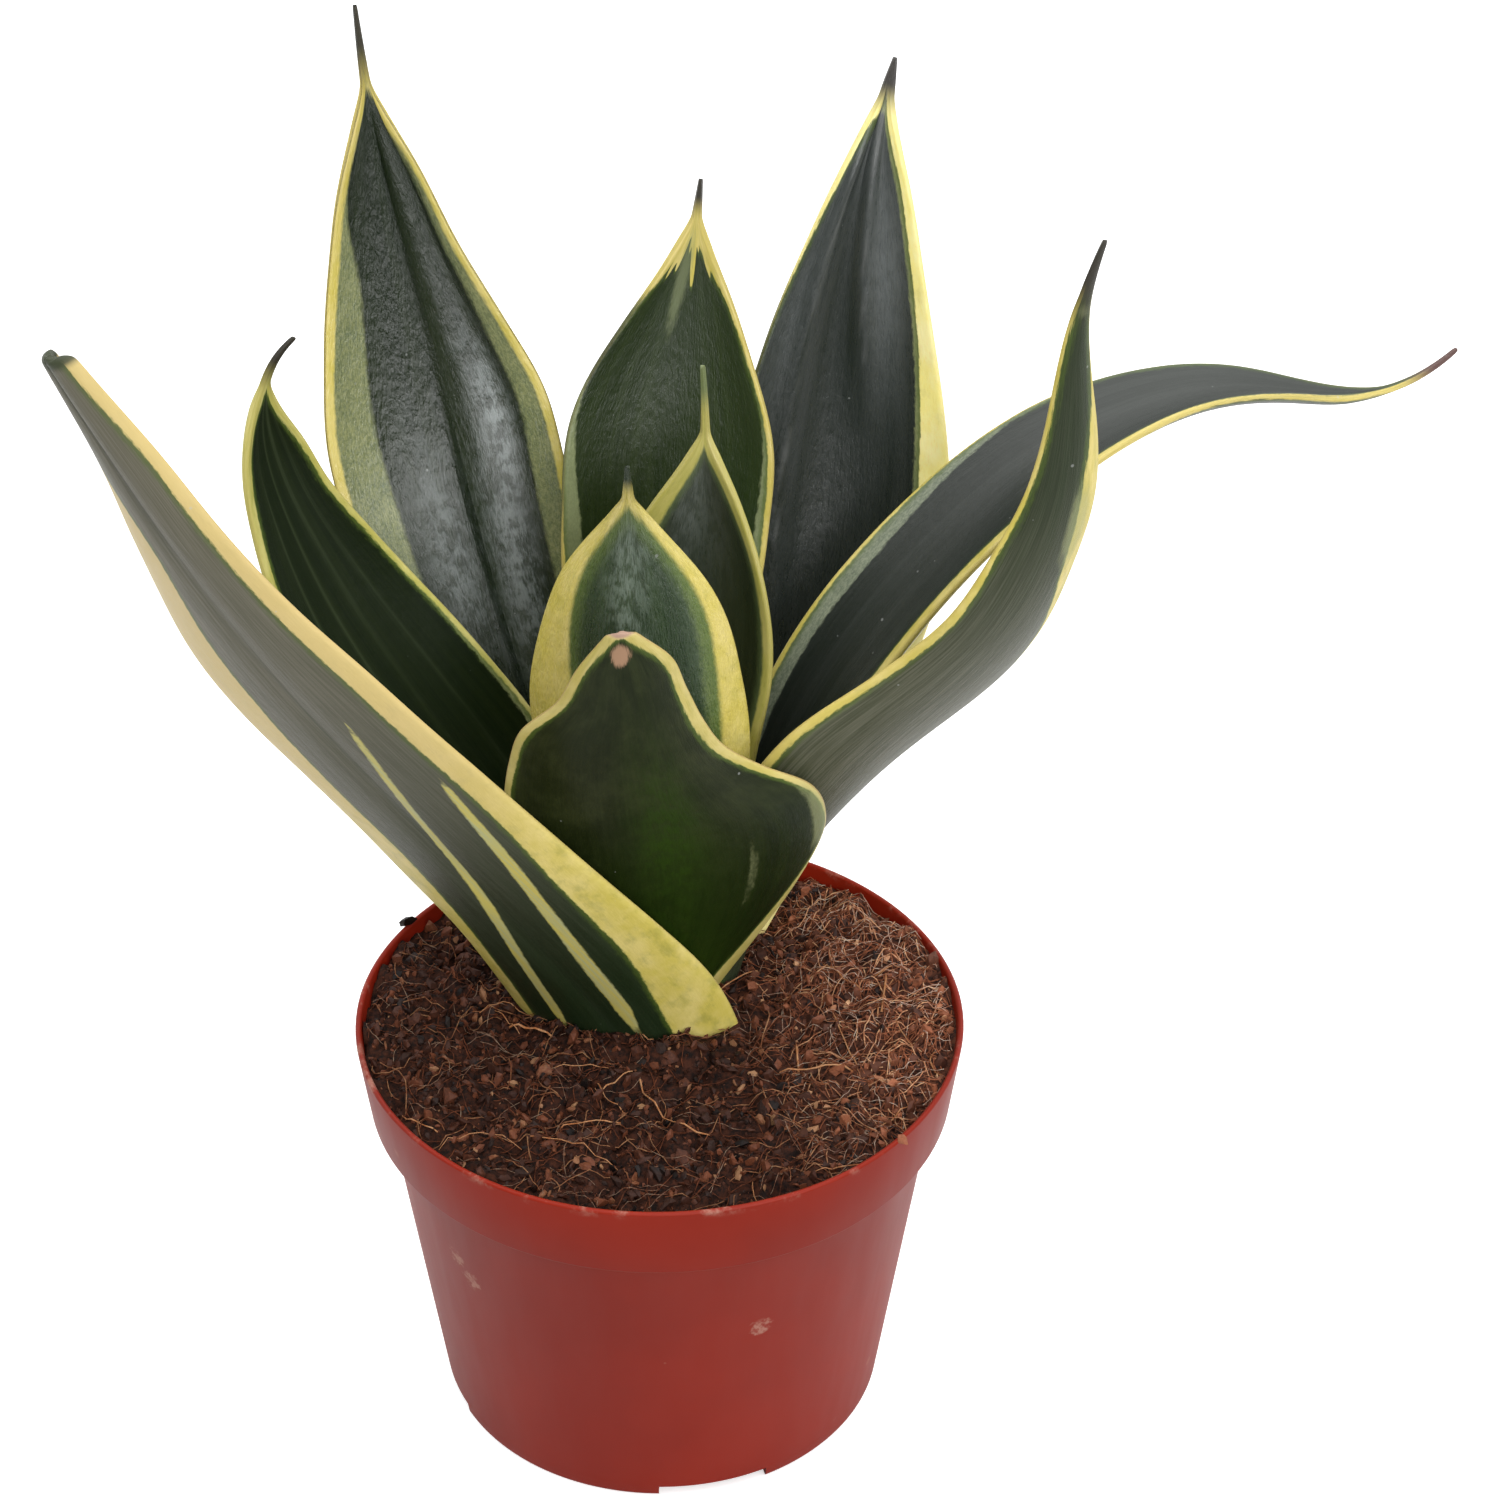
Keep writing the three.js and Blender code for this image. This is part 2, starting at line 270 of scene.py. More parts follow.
leafSpecks = {"scale": 600.0, "share": 0.012, "strength": 0.35, "colour": (0.5, 0.52, 0.5, 1)}
# Colours and bands of a leaf, where it doesn't give its own. Band widths are in mm, from base to tip.
usualLook = {
    "green": (0.010, 0.021, 0.006, 1),
    "greenLight": (0.021, 0.036, 0.014, 1),
    "outer": (0.10, 0.098, 0.07, 1),  # greyer skin of the outer face
    "outerLight": (0.16, 0.145, 0.115, 1),
    "outerShare": [0, 0],  # how much of the grey skin shows, from base to tip
    "pale": (0.34, 0.36, 0.17, 1),
    "paleDark": (0.17, 0.20, 0.09, 1),
    "grainShare": 0.4,  # how strongly the pale band is speckled
    "yellow": (0.60, 0.50, 0.10, 1),
    "cream": (0.72, 0.60, 0.20, 1),
    "peach": (0.67, 0.51, 0.22, 1),
    "edgeGreen": (0.085, 0.13, 0.02, 1),  # between the yellow and the dark green
    "edgeWidth": 0.7,
    "edgeShare": 0.7,
    "rim": 0.12,  # how brown the very edge is
    "rimColour": (0.35, 0.2, 0.1, 1),
    "glow": 0.03,  # painted glow: the thin yellow margins emit light, standing in for light that comes through them
    "tilt": [0, 0],  # degrees that the skin's shading leans back, from base to tip
    "tiltFold": 0,  # how much further towards the tip it does so left of the middle
    "waxAndSheenSpots": [],  # (place across, place along, half width, half length, share) of greyish waxy bloom, partly a painted sheen
    # colour of the waxy bloom and painted sheen
    "waxAndSheen": (0.16, 0.18, 0.165, 1),
    "waxAndSheenSide": 1,  # face with the waxy bloom and painted sheen, and with the tilt, 1 for the inner and -1 for the outer one
    "mottle": 0.15,  # share of the waxy bloom and painted sheen that the hollows of the skin keep
    "streaks": 1.0,  # how much of the skin's pattern is lengthwise lines instead of blotches
    "stain": 0.15,  # how green the blotches in the yellow are
    "peachShare": [0, 0],  # how much of the yellow has dried to peach, from base to tip
    "rightYellow": [1.5, 1.5],
    "leftYellow": [1.5, 1.5],
    "rightPale": [0, 0],
    "leftPale": [0, 0],
    "tipYellow": 0,  # length at the tip that is all yellow
    "tipJag": 0,  # how far its edge is drawn out in flames
    "tipDark": 3,  # length of the dried point
    "tipColour": (0.045, 0.04, 0.03, 1),
    "wander": 1.0,
    "softness": 0.2,
    "roughness": 0.42,
    "specular": 0.35,
    "relief": 0.35,  # of the skin's scratches and wrinkles
    "ridges": [],  # (place across from -1 to 1, height, spread) of each soft lengthwise fold
    "creases": [],  # (first place, last place, height, spread, start, end) of each sharp one
    "waves": (0.4, 4, 0),  # height, count and phase of the margin's waves
    "stripes": [],  # start, end, places across and half widths of each
    "marks": [],  # (place across, place along, half width, half length) of pale marks
    "scars": [],  # and of dried brown ones
    "scar": (0.42, 0.25, 0.15, 1),
    "lines": [],  # places across of hair-thin lengthwise lines
    # colour of the hair-thin lines, and of the painted highlight along the creases
    "lineAndCreaseSheenColour": (0.06, 0.08, 0.04, 1),
}
# Angles are in degrees and azimuths turn from +X to +Y. Every list holds evenly spaced values from
# the base to the tip; the widths stop where the spike starts.
leaves = {
    "leaf_left_front": {
        "seat": 275, "ring": 17.3, "length": 208, "spike": 1.5,
        "lean": [22, 32, 35, 33, 28, 24],
        "heading": [202, 201, 196, 190, 184, 182],
        "face": [268, 260, 254, 250, 245, 238, 225],
        "right": [20, 22.5, 21.5, 20.5, 19.5, 19, 17, 13.5, 10.5, 8.5, 5],
        "left": [19, 21, 21.5, 19.5, 18.5, 20, 21.5, 23.5, 20.5, 11.5, 5.5],
        "cup": [36, 32, 26, 22, 26, 50, 80],
        "look": {
            "rightYellow": [12, 12, 8.5, 7, 5, 4.6, 4.2, 3.3, 2.6, 2.2, 2],
            "leftYellow": [3, 4.5, 6.5, 7.5, 8.5, 9.5, 11, 14, 15, 6, 0.5],
            "peachShare": [0, 0, 0.1, 0.7, 0.85, 0.85, 0.8],
            "stain": 0.3, "pale": (0.45, 0.46, 0.24, 1),
            "outerShare": [0, 0, 0.2, 0.6, 0.85, 0.95, 1],
            "ridges": [(0.0, 0.8, 0.1)],
            "outer": (0.125, 0.12, 0.08, 1), "outerLight": (0.19, 0.175, 0.13, 1),
            "stripes": [
                {"start": 0.10, "end": 0.60,
                 "place": [0.45, 0.3, 0.05, -0.15, -0.4], "half": [1.1, 1, 0.9, 0.5]},
                {"start": 0.10, "end": 0.50,
                 "place": [-0.2, -0.3, -0.5, -0.68], "half": [1.5, 1.3, 1, 0.5]},
            ],
            "lines": [0.0, 0.06], "lineAndCreaseSheenColour": (0.02, 0.03, 0.015, 1),
            "tipColour": (0.05, 0.06, 0.03, 1),
        },
    },
    "leaf_left": {
        "seat": 180, "ring": 12, "length": 172, "spike": 13,
        "lean": [8, 23, 32, 32, 25, 10, -45],
        "heading": [172, 170, 168, 166, 164, 160],
        "face": [178, 158, 142, 135, 130, 130],
        "right": [6, 8.5, 11, 15, 19, 20.5, 21, 19.5, 17, 14, 10.5, 7.5, 1],
        "left": [5, 8, 12, 17.5, 22, 22, 21, 19.5, 17, 14, 10.5, 7.5, 1],
        "cup": [50, 45, 35, 30, 30, 40, 60],
        "look": {
            "green": (0.004, 0.010, 0.002, 1), "greenLight": (0.010, 0.018, 0.004, 1),
            "rightYellow": [1.5, 1.8, 2, 2, 1.8, 1.5], "leftYellow": [1, 1, 1, 1, 1],
            "yellow": (0.45, 0.42, 0.10, 1), "cream": (0.6, 0.55, 0.2, 1),
            "specular": 0.2,
            "leftPale": [2.5, 2, 0.8, 0, 0], "tipYellow": 11, "tipDark": 15,
            "lines": [-0.4, -0.1, 0.2, 0.5],
        },
    },
    "leaf_tall_left": {
        "seat": 133, "ring": 13, "length": 210, "spike": 16,
        "lean": [19, 25, 24, 20, 17, 8],
        "heading": [130, 131, 130, 128, 126, 124],
        "face": [135, 120, 105, 100, 100, 100],
        "right": [5, 7, 10, 15, 20, 22, 23, 23.5, 23.5, 20, 15, 9.5, 0.9],
        "left": [5, 8, 12, 16.5, 20, 21.5, 22.5, 23, 22.5, 18, 12.5, 7.5, 0.9],
        "cup": [45, 40, 30, 25, 30, 40, 60],
        "look": {
            "green": (0.006, 0.013, 0.004, 1), "greenLight": (0.014, 0.024, 0.008, 1),
            "pale": (0.27, 0.285, 0.125, 1), "paleDark": (0.10, 0.13, 0.06, 1), "grainShare": 0.6,
            "rightYellow": [1.5, 2, 2, 2, 2, 2, 2, 2, 2, 1.6, 0.8],
            "leftYellow": [1.5, 1.5, 1.8, 2, 2, 2, 1.8, 1.5, 1.2, 1, 0.8],
            "rightPale": [6, 7, 8, 9, 9.5, 9.3, 9, 8, 5.5, 0.3, 0],
            "leftPale": [4, 4, 4.2, 4.6, 5, 5, 4.6, 3.8, 2.2, 0.8, 0],
            "softness": 0.4, "edgeShare": 0,
            "ridges": [(-0.2, 0.5, 0.12), (0.08, -0.5, 0.06), (0.32, 0.9, 0.12), (0.64, -0.6, 0.1)],
            "specular": 0.5, "roughness": 0.24, "relief": 0.7,
            "tilt": [9, 9, 9, 9, 9, 9, 2, 0, 0, 0, 0], "tiltFold": 0.05,
            # painted sheen, bluish white, on the lower blade
            "waxAndSheenSpots": [(0.5, 0.6, 3, 15, 0.8), (0.38, 0.45, 4, 24, 0.6), (-0.18, 0.48, 4.5, 22, 0.5)],
            "waxAndSheen": (0.24, 0.27, 0.265, 1),
            "tipDark": 18, "tipColour": (0.05, 0.045, 0.03, 1),
        },
    },
    "leaf_back": {
        "seat": 84, "ring": 11, "length": 172, "spike": 8,
        "lean": [7, 12, 17, 19, 19, 10],
        "heading": [84, 86, 86, 80, 66, 55],
        "face": [92, 92],
        "right": [6, 10, 14, 17, 19, 21, 21, 12.5, 0.9],
        "left": [6, 10, 14, 17, 19, 21, 21, 12.5, 0.9],
        "cup": [45, 40, 30, 25, 30, 40, 60],
        "look": {
            "rightYellow": [1, 1, 1, 1, 1, 1, 0.5, -0.5, -0.8, 0, 2.5],
            "leftYellow": [1, 1, 1, 1, 1, 1, 1, 1, 0.8, 0.9, 3],
            "rightPale": [2, 2, 3, 3.5, 3.5, 3.5, 3.5, 3, 0.8, 0, 0],
            "leftPale": [2, 2, 2, 2, 2, 2, 1.8, 1.5, 0.3, 0, 0],
            "green": (0.012, 0.025, 0.004, 1), "greenLight": (0.025, 0.042, 0.010, 1),
            "specular": 0.5, "roughness": 0.32, "relief": 0.6,
            "pale": (0.26, 0.30, 0.15, 1),
            "marks": [(-0.2, 0.89, 1.3, 9)],
            "tipYellow": 15, "tipJag": 4, "wander": 1.6, "tipDark": 8,
        },
    },
    "leaf_tall_right": {
        "seat": 48, "ring": 16, "length": 198, "spike": 8,
        "lean": [28, 31, 22, 16, 12, 19],
        "heading": [38, 50, 65, 70, 64, 48],
        "face": [55, 70, 80, 85, 85, 85],
        "right": [6, 7.5, 9.5, 13, 18, 23, 26, 25, 22, 18, 13, 8, 1.5],
        "left": [5, 7, 9.5, 13, 17, 21, 24, 23.5, 21, 17.5, 13, 8, 1.5],
        "cup": [45, 40, 35, 30, 35, 40, 60],
        "look": {
            "green": (0.012, 0.018, 0.014, 1), "greenLight": (0.026, 0.032, 0.028, 1),
            "rightYellow": [-1, -1, -1, -1, -1, -1, -1, -0.5, 0, 0.5, 1],
            "leftYellow": [5, 5, 5.5, 6, 6.5, 6.8, 6.5, 4.6, 2.8, 1.6, 1.5],
            "leftPale": [1.2, 1.2], "cream": (0.92, 0.83, 0.40, 1), "yellow": (0.84, 0.74, 0.24, 1),
            "creases": [(-0.42, -0.72, 2.2, 0.12, 0.4, 1), (0.2, -0.12, 2, 0.12, 0.62, 1)],
            # painted highlight along the crests of its creases
            "lineAndCreaseSheenColour": (0.17, 0.175, 0.17, 1),
            # painted sheen on two lengthwise panels
            "waxAndSheenSpots": [(0.42, 0.8, 4.5, 22, 0.75), (-0.8, 0.8, 4, 40, 0.3)], "mottle": 0.75,
            "waxAndSheen": (0.15, 0.165, 0.165, 1),
            "glow": 0.2, "specular": 0.6, "roughness": 0.3,
            "tipDark": 12, "tipColour": (0.035, 0.03, 0.025, 1),
        },
    },
    "leaf_long_right": {
        "seat": 18, "ring": 13, "length": 231, "spike": 16,
        "lean": [10, 14, 26, 38, 51, 77, 103, 48],
        "heading": [20, 17, 15, 15, 15, 15],
        "face": [20, 28, 25, 20, 15, 15],
        "right": [5, 8, 14, 15, 13, 8, 1],
        "left": [3.5, 5, 12, 15, 13, 8, 1],
        "cup": [50, 45, 40, 35, 35, 40, 60],
        "look": {
            "green": (0.011, 0.016, 0.011, 1), "greenLight": (0.026, 0.032, 0.026, 1),
            "rightYellow": [2.2, 2, 1.8, 1.3, 1, 0.8, 0.5, 0.2, 0, 0, 0],
            "pale": (0.30, 0.33, 0.23, 1), "paleDark": (0.11, 0.14, 0.09, 1), "grainShare": 0.6,
            "rightPale": [3, 3, 3, 3, 3.2, 3.2, 1.8, 0.3, 0, 0, 0],
            "leftYellow": [2, 2, 2, 2, 2, 2.5, 2.2, 1.5, 0.3, 0.2, 0.2],
            "specular": 0.6, "roughness": 0.36, "tipDark": 14, "tipColour": (0.12, 0.06, 0.05, 1),
        },
    },
    "leaf_right_front": {
        "seat": 343, "ring": 13, "length": 205, "spike": 12,
        "lean": [4, 18, 35, 41, 19, -2, 18],
        "heading": [358, 356, 352, 348, 347, 345],
        "face": [325, 308, 300, 295, 290, 288],
        "right": [4, 5.5, 8.5, 15.5, 19, 19.5, 15.5, 10, 7, 4.5, 1.2],
        "left": [4, 4.5, 8.5, 16, 18.5, 14.5, 12.5, 11, 7.5, 4, 1.2],
        "cup": [45, 40, 35, 30, 30, 40, 60],
        "look": {
            "outer": (0.06, 0.066, 0.034, 1), "outerLight": (0.135, 0.135, 0.09, 1),
            "outerShare": [0.2, 0.3, 0.5, 0.9, 0.9, 0.6, 0.25, 0.2, 0.2],
            "rightYellow": [1, 1, 1.2, 1.5, 1.5, 1.8, 2.5, 5.5, 4.5, 1.5, 0.3],
            "marks": [(-0.42, 0.71, 2.2, 9), (0.1, 0.93, 0.5, 0.8)],
            "leftYellow": [2, 2, 2, 1.8, 1.5, 1.3, 1.2, 1, 1, 0.8, 0.5],
            "peachShare": [0.3, 0.2, 0, 0], "wander": 1.6, "tipDark": 20,
        },
    },
    "leaf_centre_front": {
        "seat": 258, "ring": 3.5, "length": 140, "spike": 7,
        "lean": [3, 5, 5, 3, 0, 0],
        "heading": [262, 250, 240, 225],
        "face": [262, 262],
        "right": [7, 11, 17, 22.5, 22.5, 16.5, 1],
        "left": [7, 11, 17, 22.5, 22.5, 16.5, 1],
        "cup": [45, 50, 50, 45, 45, 50, 60],
        "look": {
            "green": (0.012, 0.032, 0.008, 1), "greenLight": (0.03, 0.06, 0.018, 1), "softness": 0.7,
            # painted sheen down the middle of the outer face and on one side
            "waxAndSheenSpots": [(0.02, 0.78, 3.5, 30, 1), (-0.75, 0.7, 3, 26, 0.5)],
            "waxAndSheen": (0.17, 0.22, 0.17, 1), "waxAndSheenSide": -1,
            "rightYellow": [4, 4, 4.5, 5, 6.5, 6.5, 6.5, 5.5, 4, 3, 1.6],
            "rightPale": [2, 2, 2, 2, 2.5, 3, 3, 3, 2.5, 1, 0],
            "leftYellow": [9, 9, 10, 11, 13, 13, 12.5, 10, 7, 4, 1.6],
            "pale": (0.22, 0.27, 0.10, 1), "paleDark": (0.05, 0.09, 0.03, 1),
            "edgeGreen": (0.12, 0.18, 0.03, 1), "edgeWidth": 2.0, "glow": 0.13,
            "specular": 0.9, "roughness": 0.28, "relief": 1.4, "tilt": [6, 6],
            "tipDark": 6, "tipColour": (0.03, 0.055, 0.02, 1),
        },
    },
    "leaf_centre_back": {
        "seat": 72, "ring": 5.5, "length": 148, "spike": 15,
        "lean": [4, 9, 9, 6, 0, -4],
        "heading": [45, 45],
        "face": [75, 75, 70, 70, 70],
        "right": [7, 9, 13, 17, 18.5, 14.5, 0.8],
        "left": [7, 9, 13, 17, 18.5, 14.5, 0.8],
        "cup": [45, 50, 50, 45, 45, 50, 60],
        "look": {
            "rightYellow": [3, 3, 3.5, 4, 4.3, 4.3, 4.3, 4.3, 4, 3.5, 2],
            "leftYellow": [1.5, 1.5, 1.5, 1.8, 2, 2, 2, 2, 2, 2.5, 2],
            "green": (0.008, 0.015, 0.005, 1), "greenLight": (0.018, 0.028, 0.013, 1),
            "edgeGreen": (0.10, 0.14, 0.05, 1), "edgeWidth": 1.3,
            "tipYellow": 17, "yellow": (0.45, 0.42, 0.09, 1), "cream": (0.56, 0.5, 0.15, 1),
            # painted sheen near the top
            "waxAndSheenSpots": [(-0.3, 0.8, 4, 20, 0.5), (0.15, 0.75, 5, 16, 0.2)],
            "mottle": 0.5, "softness": 0.5,
            "specular": 0.8, "roughness": 0.32, "tipDark": 11, "tipColour": (0.16, 0.20, 0.07, 1),
        },
    },
    "leaf_front": {
        "seat": 275, "ring": 12.4, "length": 122, "spike": 1,
        "lean": [4, 10, 14, 13, 12, 10],
        "heading": [285, 282, 264, 246, 238, 235],
        "face": [272, 276, 278, 275, 275],
        "right": [11, 11, 11.5, 16.5, 22.5, 29, 33.5, 35, 32.5, 23.5, 16.5, 13, 11, 9, 3],
        "left": [11, 13, 18, 22, 24.5, 26.5, 28, 28.5, 28.5, 28, 26.5, 23, 14.5, 9.5, 3],
        "cup": [45, 40, 34, 28, 28, 34, 36, 30],
        "look": {
            "green": (0.004, 0.012, 0.001, 1), "greenLight": (0.014, 0.027, 0.003, 1),
            "outer": (0.016, 0.019, 0.006, 1), "outerLight": (0.042, 0.047, 0.018, 1),
            "outerShare": [0, 0, 0, 0.2, 0.7, 0.6, 0.4],
            "yellow": (0.50, 0.42, 0.11, 1), "cream": (0.62, 0.52, 0.2, 1), "rim": 0.45, "streaks": 0.2,
            # painted shading: lighter green patches on the outer face
            "waxAndSheenSpots": [(-0.1, 0.56, 6, 22, 0.9), (0.1, 0.25, 12, 14, 0.7)], "mottle": 0.5,
            "waxAndSheen": (0.022, 0.05, 0.003, 1), "waxAndSheenSide": -1,
            "rightYellow": [8, 7.5, 6.5, 4.5, 1.5, 0.6, 1.6, 2.2, 2.4, 2.4, 2.2],
            "leftYellow": [1.2, 1.2, 1.2, 1.2, 1.4, 1.4, 1.5, 1.7, 1.9, 2, 2], "wander": 1.6,
            "marks": [(-0.53, 0.45, 0.4, 4), (-0.95, 0.5, 1.8, 8)],
            "scars": [(0.1, 0.962, 1.5, 2.4)], "tipDark": 1, "tipColour": (0.42, 0.27, 0.2, 1),
            "specular": 0.2,
        },
    },
}


# Smooth curve through evenly spaced values, read at s from 0 to 1
def along(values, s):
    values = np.asarray(values, float)
    last = len(values) - 1
    x = np.clip(s, 0, 1) * last
    i = np.minimum(np.floor(x).astype(int), last - 1)
    ends = [2 * values[0] - values[1]], [2 * values[-1] - values[-2]]
    padded = np.concatenate((ends[0], values, ends[1]))
    a, b, c, d = (padded[i + k] for k in range(4))
    u = x - i
    return 0.5 * (2 * b + (c - a) * u + (2 * a - 5 * b + 4 * c - d) * u ** 2
                  + (3 * b - a - 3 * c + d) * u ** 3)


def tangent(leaf, s):
    lean = np.radians(along(leaf["lean"], s))
    heading = np.radians(along(leaf["heading"], s))
    across = np.sin(lean)
    return np.stack((across * np.cos(heading), across * np.sin(heading), np.cos(lean)), axis=-1)


def spinePlace(leaf, s):
    steps = blade["spineSteps"]
    seat = math.radians(leaf["seat"])
    foot = (crown["place"][0] + leaf["ring"] * math.cos(seat),
            crown["place"][1] + leaf["ring"] * math.sin(seat), crown["height"])
    moves = tangent(leaf, (np.arange(steps) + 0.5) / steps) * leaf["length"] / steps
    points = foot + np.vstack((np.zeros(3), np.cumsum(moves, axis=0)))
    x = s * steps
    i = np.minimum(x.astype(int), steps - 1)
    return points[i] + (points[i + 1] - points[i]) * (x - i)[:, None]


# Where along a leaf its blade ends and the spike starts
def spikeStart(leaf):
    return 1 - leaf["spike"] / leaf["length"]


# Widths of the blade to its right and left margin at s
def halfWidths(leaf, s):
    start = spikeStart(leaf)
    body = np.minimum(s / start, 1)
    spike = np.clip((s - start) / (1 - start), 0, 1)
    right = along(leaf["right"], body) * (1 - spike) + blade["tipHalfWidth"] * spike
    left = along(leaf["left"], body) * (1 - spike) + blade["tipHalfWidth"] * spike
    return right, left, body


def creasePlace(crease, s):
    first, last, _, _, start, end = crease
    return first + (last - first) * (s - start) / (end - start)


# How far the folds, creases and waves lift the blade off its smooth cup
def foldLift(look, t, s, width):
    lift = np.zeros_like(t)
    for where, height, spread in look["ridges"]:
        lift += height * np.exp(-((t - where) / spread) ** 2)
    for crease in look["creases"]:
        _, _, height, spread, start, end = crease
        starting = np.clip((s - start) / blade["creaseFade"], 0, 1)
        ending = np.clip((end - s) / blade["creaseFade"], 0, 1)
        lift += height * np.exp(-np.abs(t - creasePlace(crease, s)) / spread) * starting * ending
    height, count, phase = look["waves"]
    lift += height * np.abs(t) ** 3 * np.sin(2 * math.pi * count * s + phase + 2 * np.sign(t))
    return lift * np.clip(width / blade["foldsBelow"], 0, 1)


# Places on the blade's middle surface, its thickness there and the way out of its inner face; t runs
# from the right margin (-1) to the left one (1)
def bladeShape(leaf, look, t, s):
    right, left, body = halfWidths(leaf, s)
    width = np.minimum(right, left)
    cup = np.minimum(np.radians(along(leaf["cup"], body)), width / blade["tightest"])
    up = tangent(leaf, s)
    face = np.radians(along(leaf["face"], s))
    inward = np.stack((-np.cos(face), -np.sin(face), np.full_like(face, crown["faceTilt"])), -1)
    inward -= up * np.sum(inward * up, axis=-1, keepdims=True)
    inward /= np.linalg.norm(inward, axis=-1, keepdims=True)
    side = np.cross(up, inward)
    radius = np.where(t < 0, right, left) / cup
    angle = cup * t
    acrossWay = inward * np.cos(angle)[:, None] - side * np.sin(angle)[:, None]
    places = (spinePlace(leaf, s) + side * (radius * np.sin(angle))[:, None]
              + inward * (radius * (1 - np.cos(angle)))[:, None]
              + acrossWay * foldLift(look, t, s, width)[:, None])
    core = along(blade["core"], s) * np.minimum(1, width / blade["coreBelow"])
    return places, core * np.sqrt(np.maximum(1 - t * t, 0)) + blade["edge"], acrossWay


# Depth (mm) inside the yellow margins, the pale bands and the stripes; below 0 is outside
def markBands(mesh, leaf, look, t, s):
    right, left, body = halfWidths(leaf, s)
    fromRight = np.where(t < 0, right * (1 + t), right + left * t)
    fromLeft = np.where(t > 0, left * (1 - t), left - right * t)
    rightYellow, leftYellow = along(look["rightYellow"], body), along(look["leftYellow"], body)
    yellow = np.maximum(rightYellow - fromRight, leftYellow - fromLeft)
    flames = look["tipJag"] * (np.sin(9 * t + 1) + 0.6 * np.sin(23 * t))
    yellow = np.maximum(yellow, (s - 1) * leaf["length"] + look["tipYellow"] + flames)
    rightPale = rightYellow + along(look["rightPale"], body)
    leftPale = leftYellow + along(look["leftPale"], body)
    stripe = np.full_like(t, blade["outside"])
    for line in look["stripes"]:
        part = (s - line["start"]) / (line["end"] - line["start"])
        nearEnd = np.maximum(0, np.abs(part - 0.5) - 0.42)
        half = along(line["half"], part) - blade["stripeEnds"] * nearEnd
        offset = np.abs(t - along(line["place"], part)) * np.where(t < 0, right, left)
        stripe = np.maximum(stripe, half - offset)
    setFloats(mesh, "yellow", yellow)
    setFloats(mesh, "pale", np.maximum(rightPale - fromRight, leftPale - fromLeft))
    setFloats(mesh, "stripe", stripe)
    setFloats(mesh, "margin", np.minimum(fromRight, fromLeft))


# Hair-thin lines along the leaf, and painted highlights on its creases, 1 at their middle
def markLinesAndCreaseSheen(mesh, leaf, look, t, s):
    right, left, _ = halfWidths(leaf, s)
    width = np.minimum(right, left)
    line = np.zeros_like(t)
    for where in look["lines"]:
        line = np.maximum(line, 1 - np.abs(t - where) * width / blade["lineWidth"])
    for crease in look["creases"]:
        start = crease[4]
        below = np.clip(start + blade["creaseFade"] - s, 0, 1)
        offset = np.abs(t - creasePlace(crease, s)) * width + blade["creaseStart"] * below
        line = np.maximum(line, 1 - offset / blade["creaseWidth"])
    setFloats(mesh, "line", line)


# Marks, scars, and waxy bloom that is partly a painted sheen, each an oval of (place across, place
# along, half width, half length)
def markSpots(mesh, leaf, look, t, s, waxAndSheenFace):
    right, left, _ = halfWidths(leaf, s)

    def offset(across, upward, halfWidth, halfLength):
        return np.hypot((t - across) * np.where(t < 0, right, left) / halfWidth,
                        (s - upward) * leaf["length"] / halfLength)

    for title in ("marks", "scars"):
        depth = np.full_like(t, blade["outside"])
        for oval in look[title]:
            depth = np.maximum(depth, (1 - offset(*oval)) * oval[2])
        setFloats(mesh, title, depth)
    waxAndSheen = np.zeros_like(t)
    for *oval, share in look["waxAndSheenSpots"]:
        waxAndSheen += share * np.exp(-offset(*oval) ** 2)
    setFloats(mesh, "waxAndSheen", np.clip(waxAndSheen, 0, 1) * waxAndSheenFace)


# The height whose slope makes the skin shade as if it leant back
def markTilt(mesh, leaf, look, t, s, waxAndSheenFace):
    steps = np.linspace(0, 1, 101)
    slopes = np.tan(np.radians(along(look["tilt"], steps))) * leaf["length"] / 100
    shifted = s - look["tiltFold"] * np.clip((t - 0.02) / 0.12, 0, 1)
    setFloats(mesh, "tilt", -np.interp(shifted, steps, np.cumsum(slopes)) * waxAndSheenFace)


def markLeaf(mesh, leaf, look):
    t, s, side = (getFloats(mesh, title) for title in ("across", "upLeaf", "side"))
    waxAndSheenFace = side * look["waxAndSheenSide"] > 0
    markBands(mesh, leaf, look, t, s)
    markLinesAndCreaseSheen(mesh, leaf, look, t, s)
    markSpots(mesh, leaf, look, t, s, waxAndSheenFace)
    markTilt(mesh, leaf, look, t, s, waxAndSheenFace)
    outerShare = np.clip(along(look["outerShare"], s), 0, 1)
    setFloats(mesh, "outerFace", np.clip(-side, 0, 1) * outerShare)
    setFloats(mesh, "peach", np.clip(along(look["peachShare"], s), 0, 1))
    setFloats(mesh, "toTip", (1 - s) * leaf["length"])
    skin = mesh.uv_layers.new(name="skin")  # in mm, with the two faces apart
    corners = np.empty(len(mesh.loops), int)
    mesh.loops.foreach_get("vertex_index", corners)
    spots = np.stack((t * 20 + 40 * side, s * leaf["length"]), -1)
    skin.data.foreach_set("uv", spots[corners].ravel())


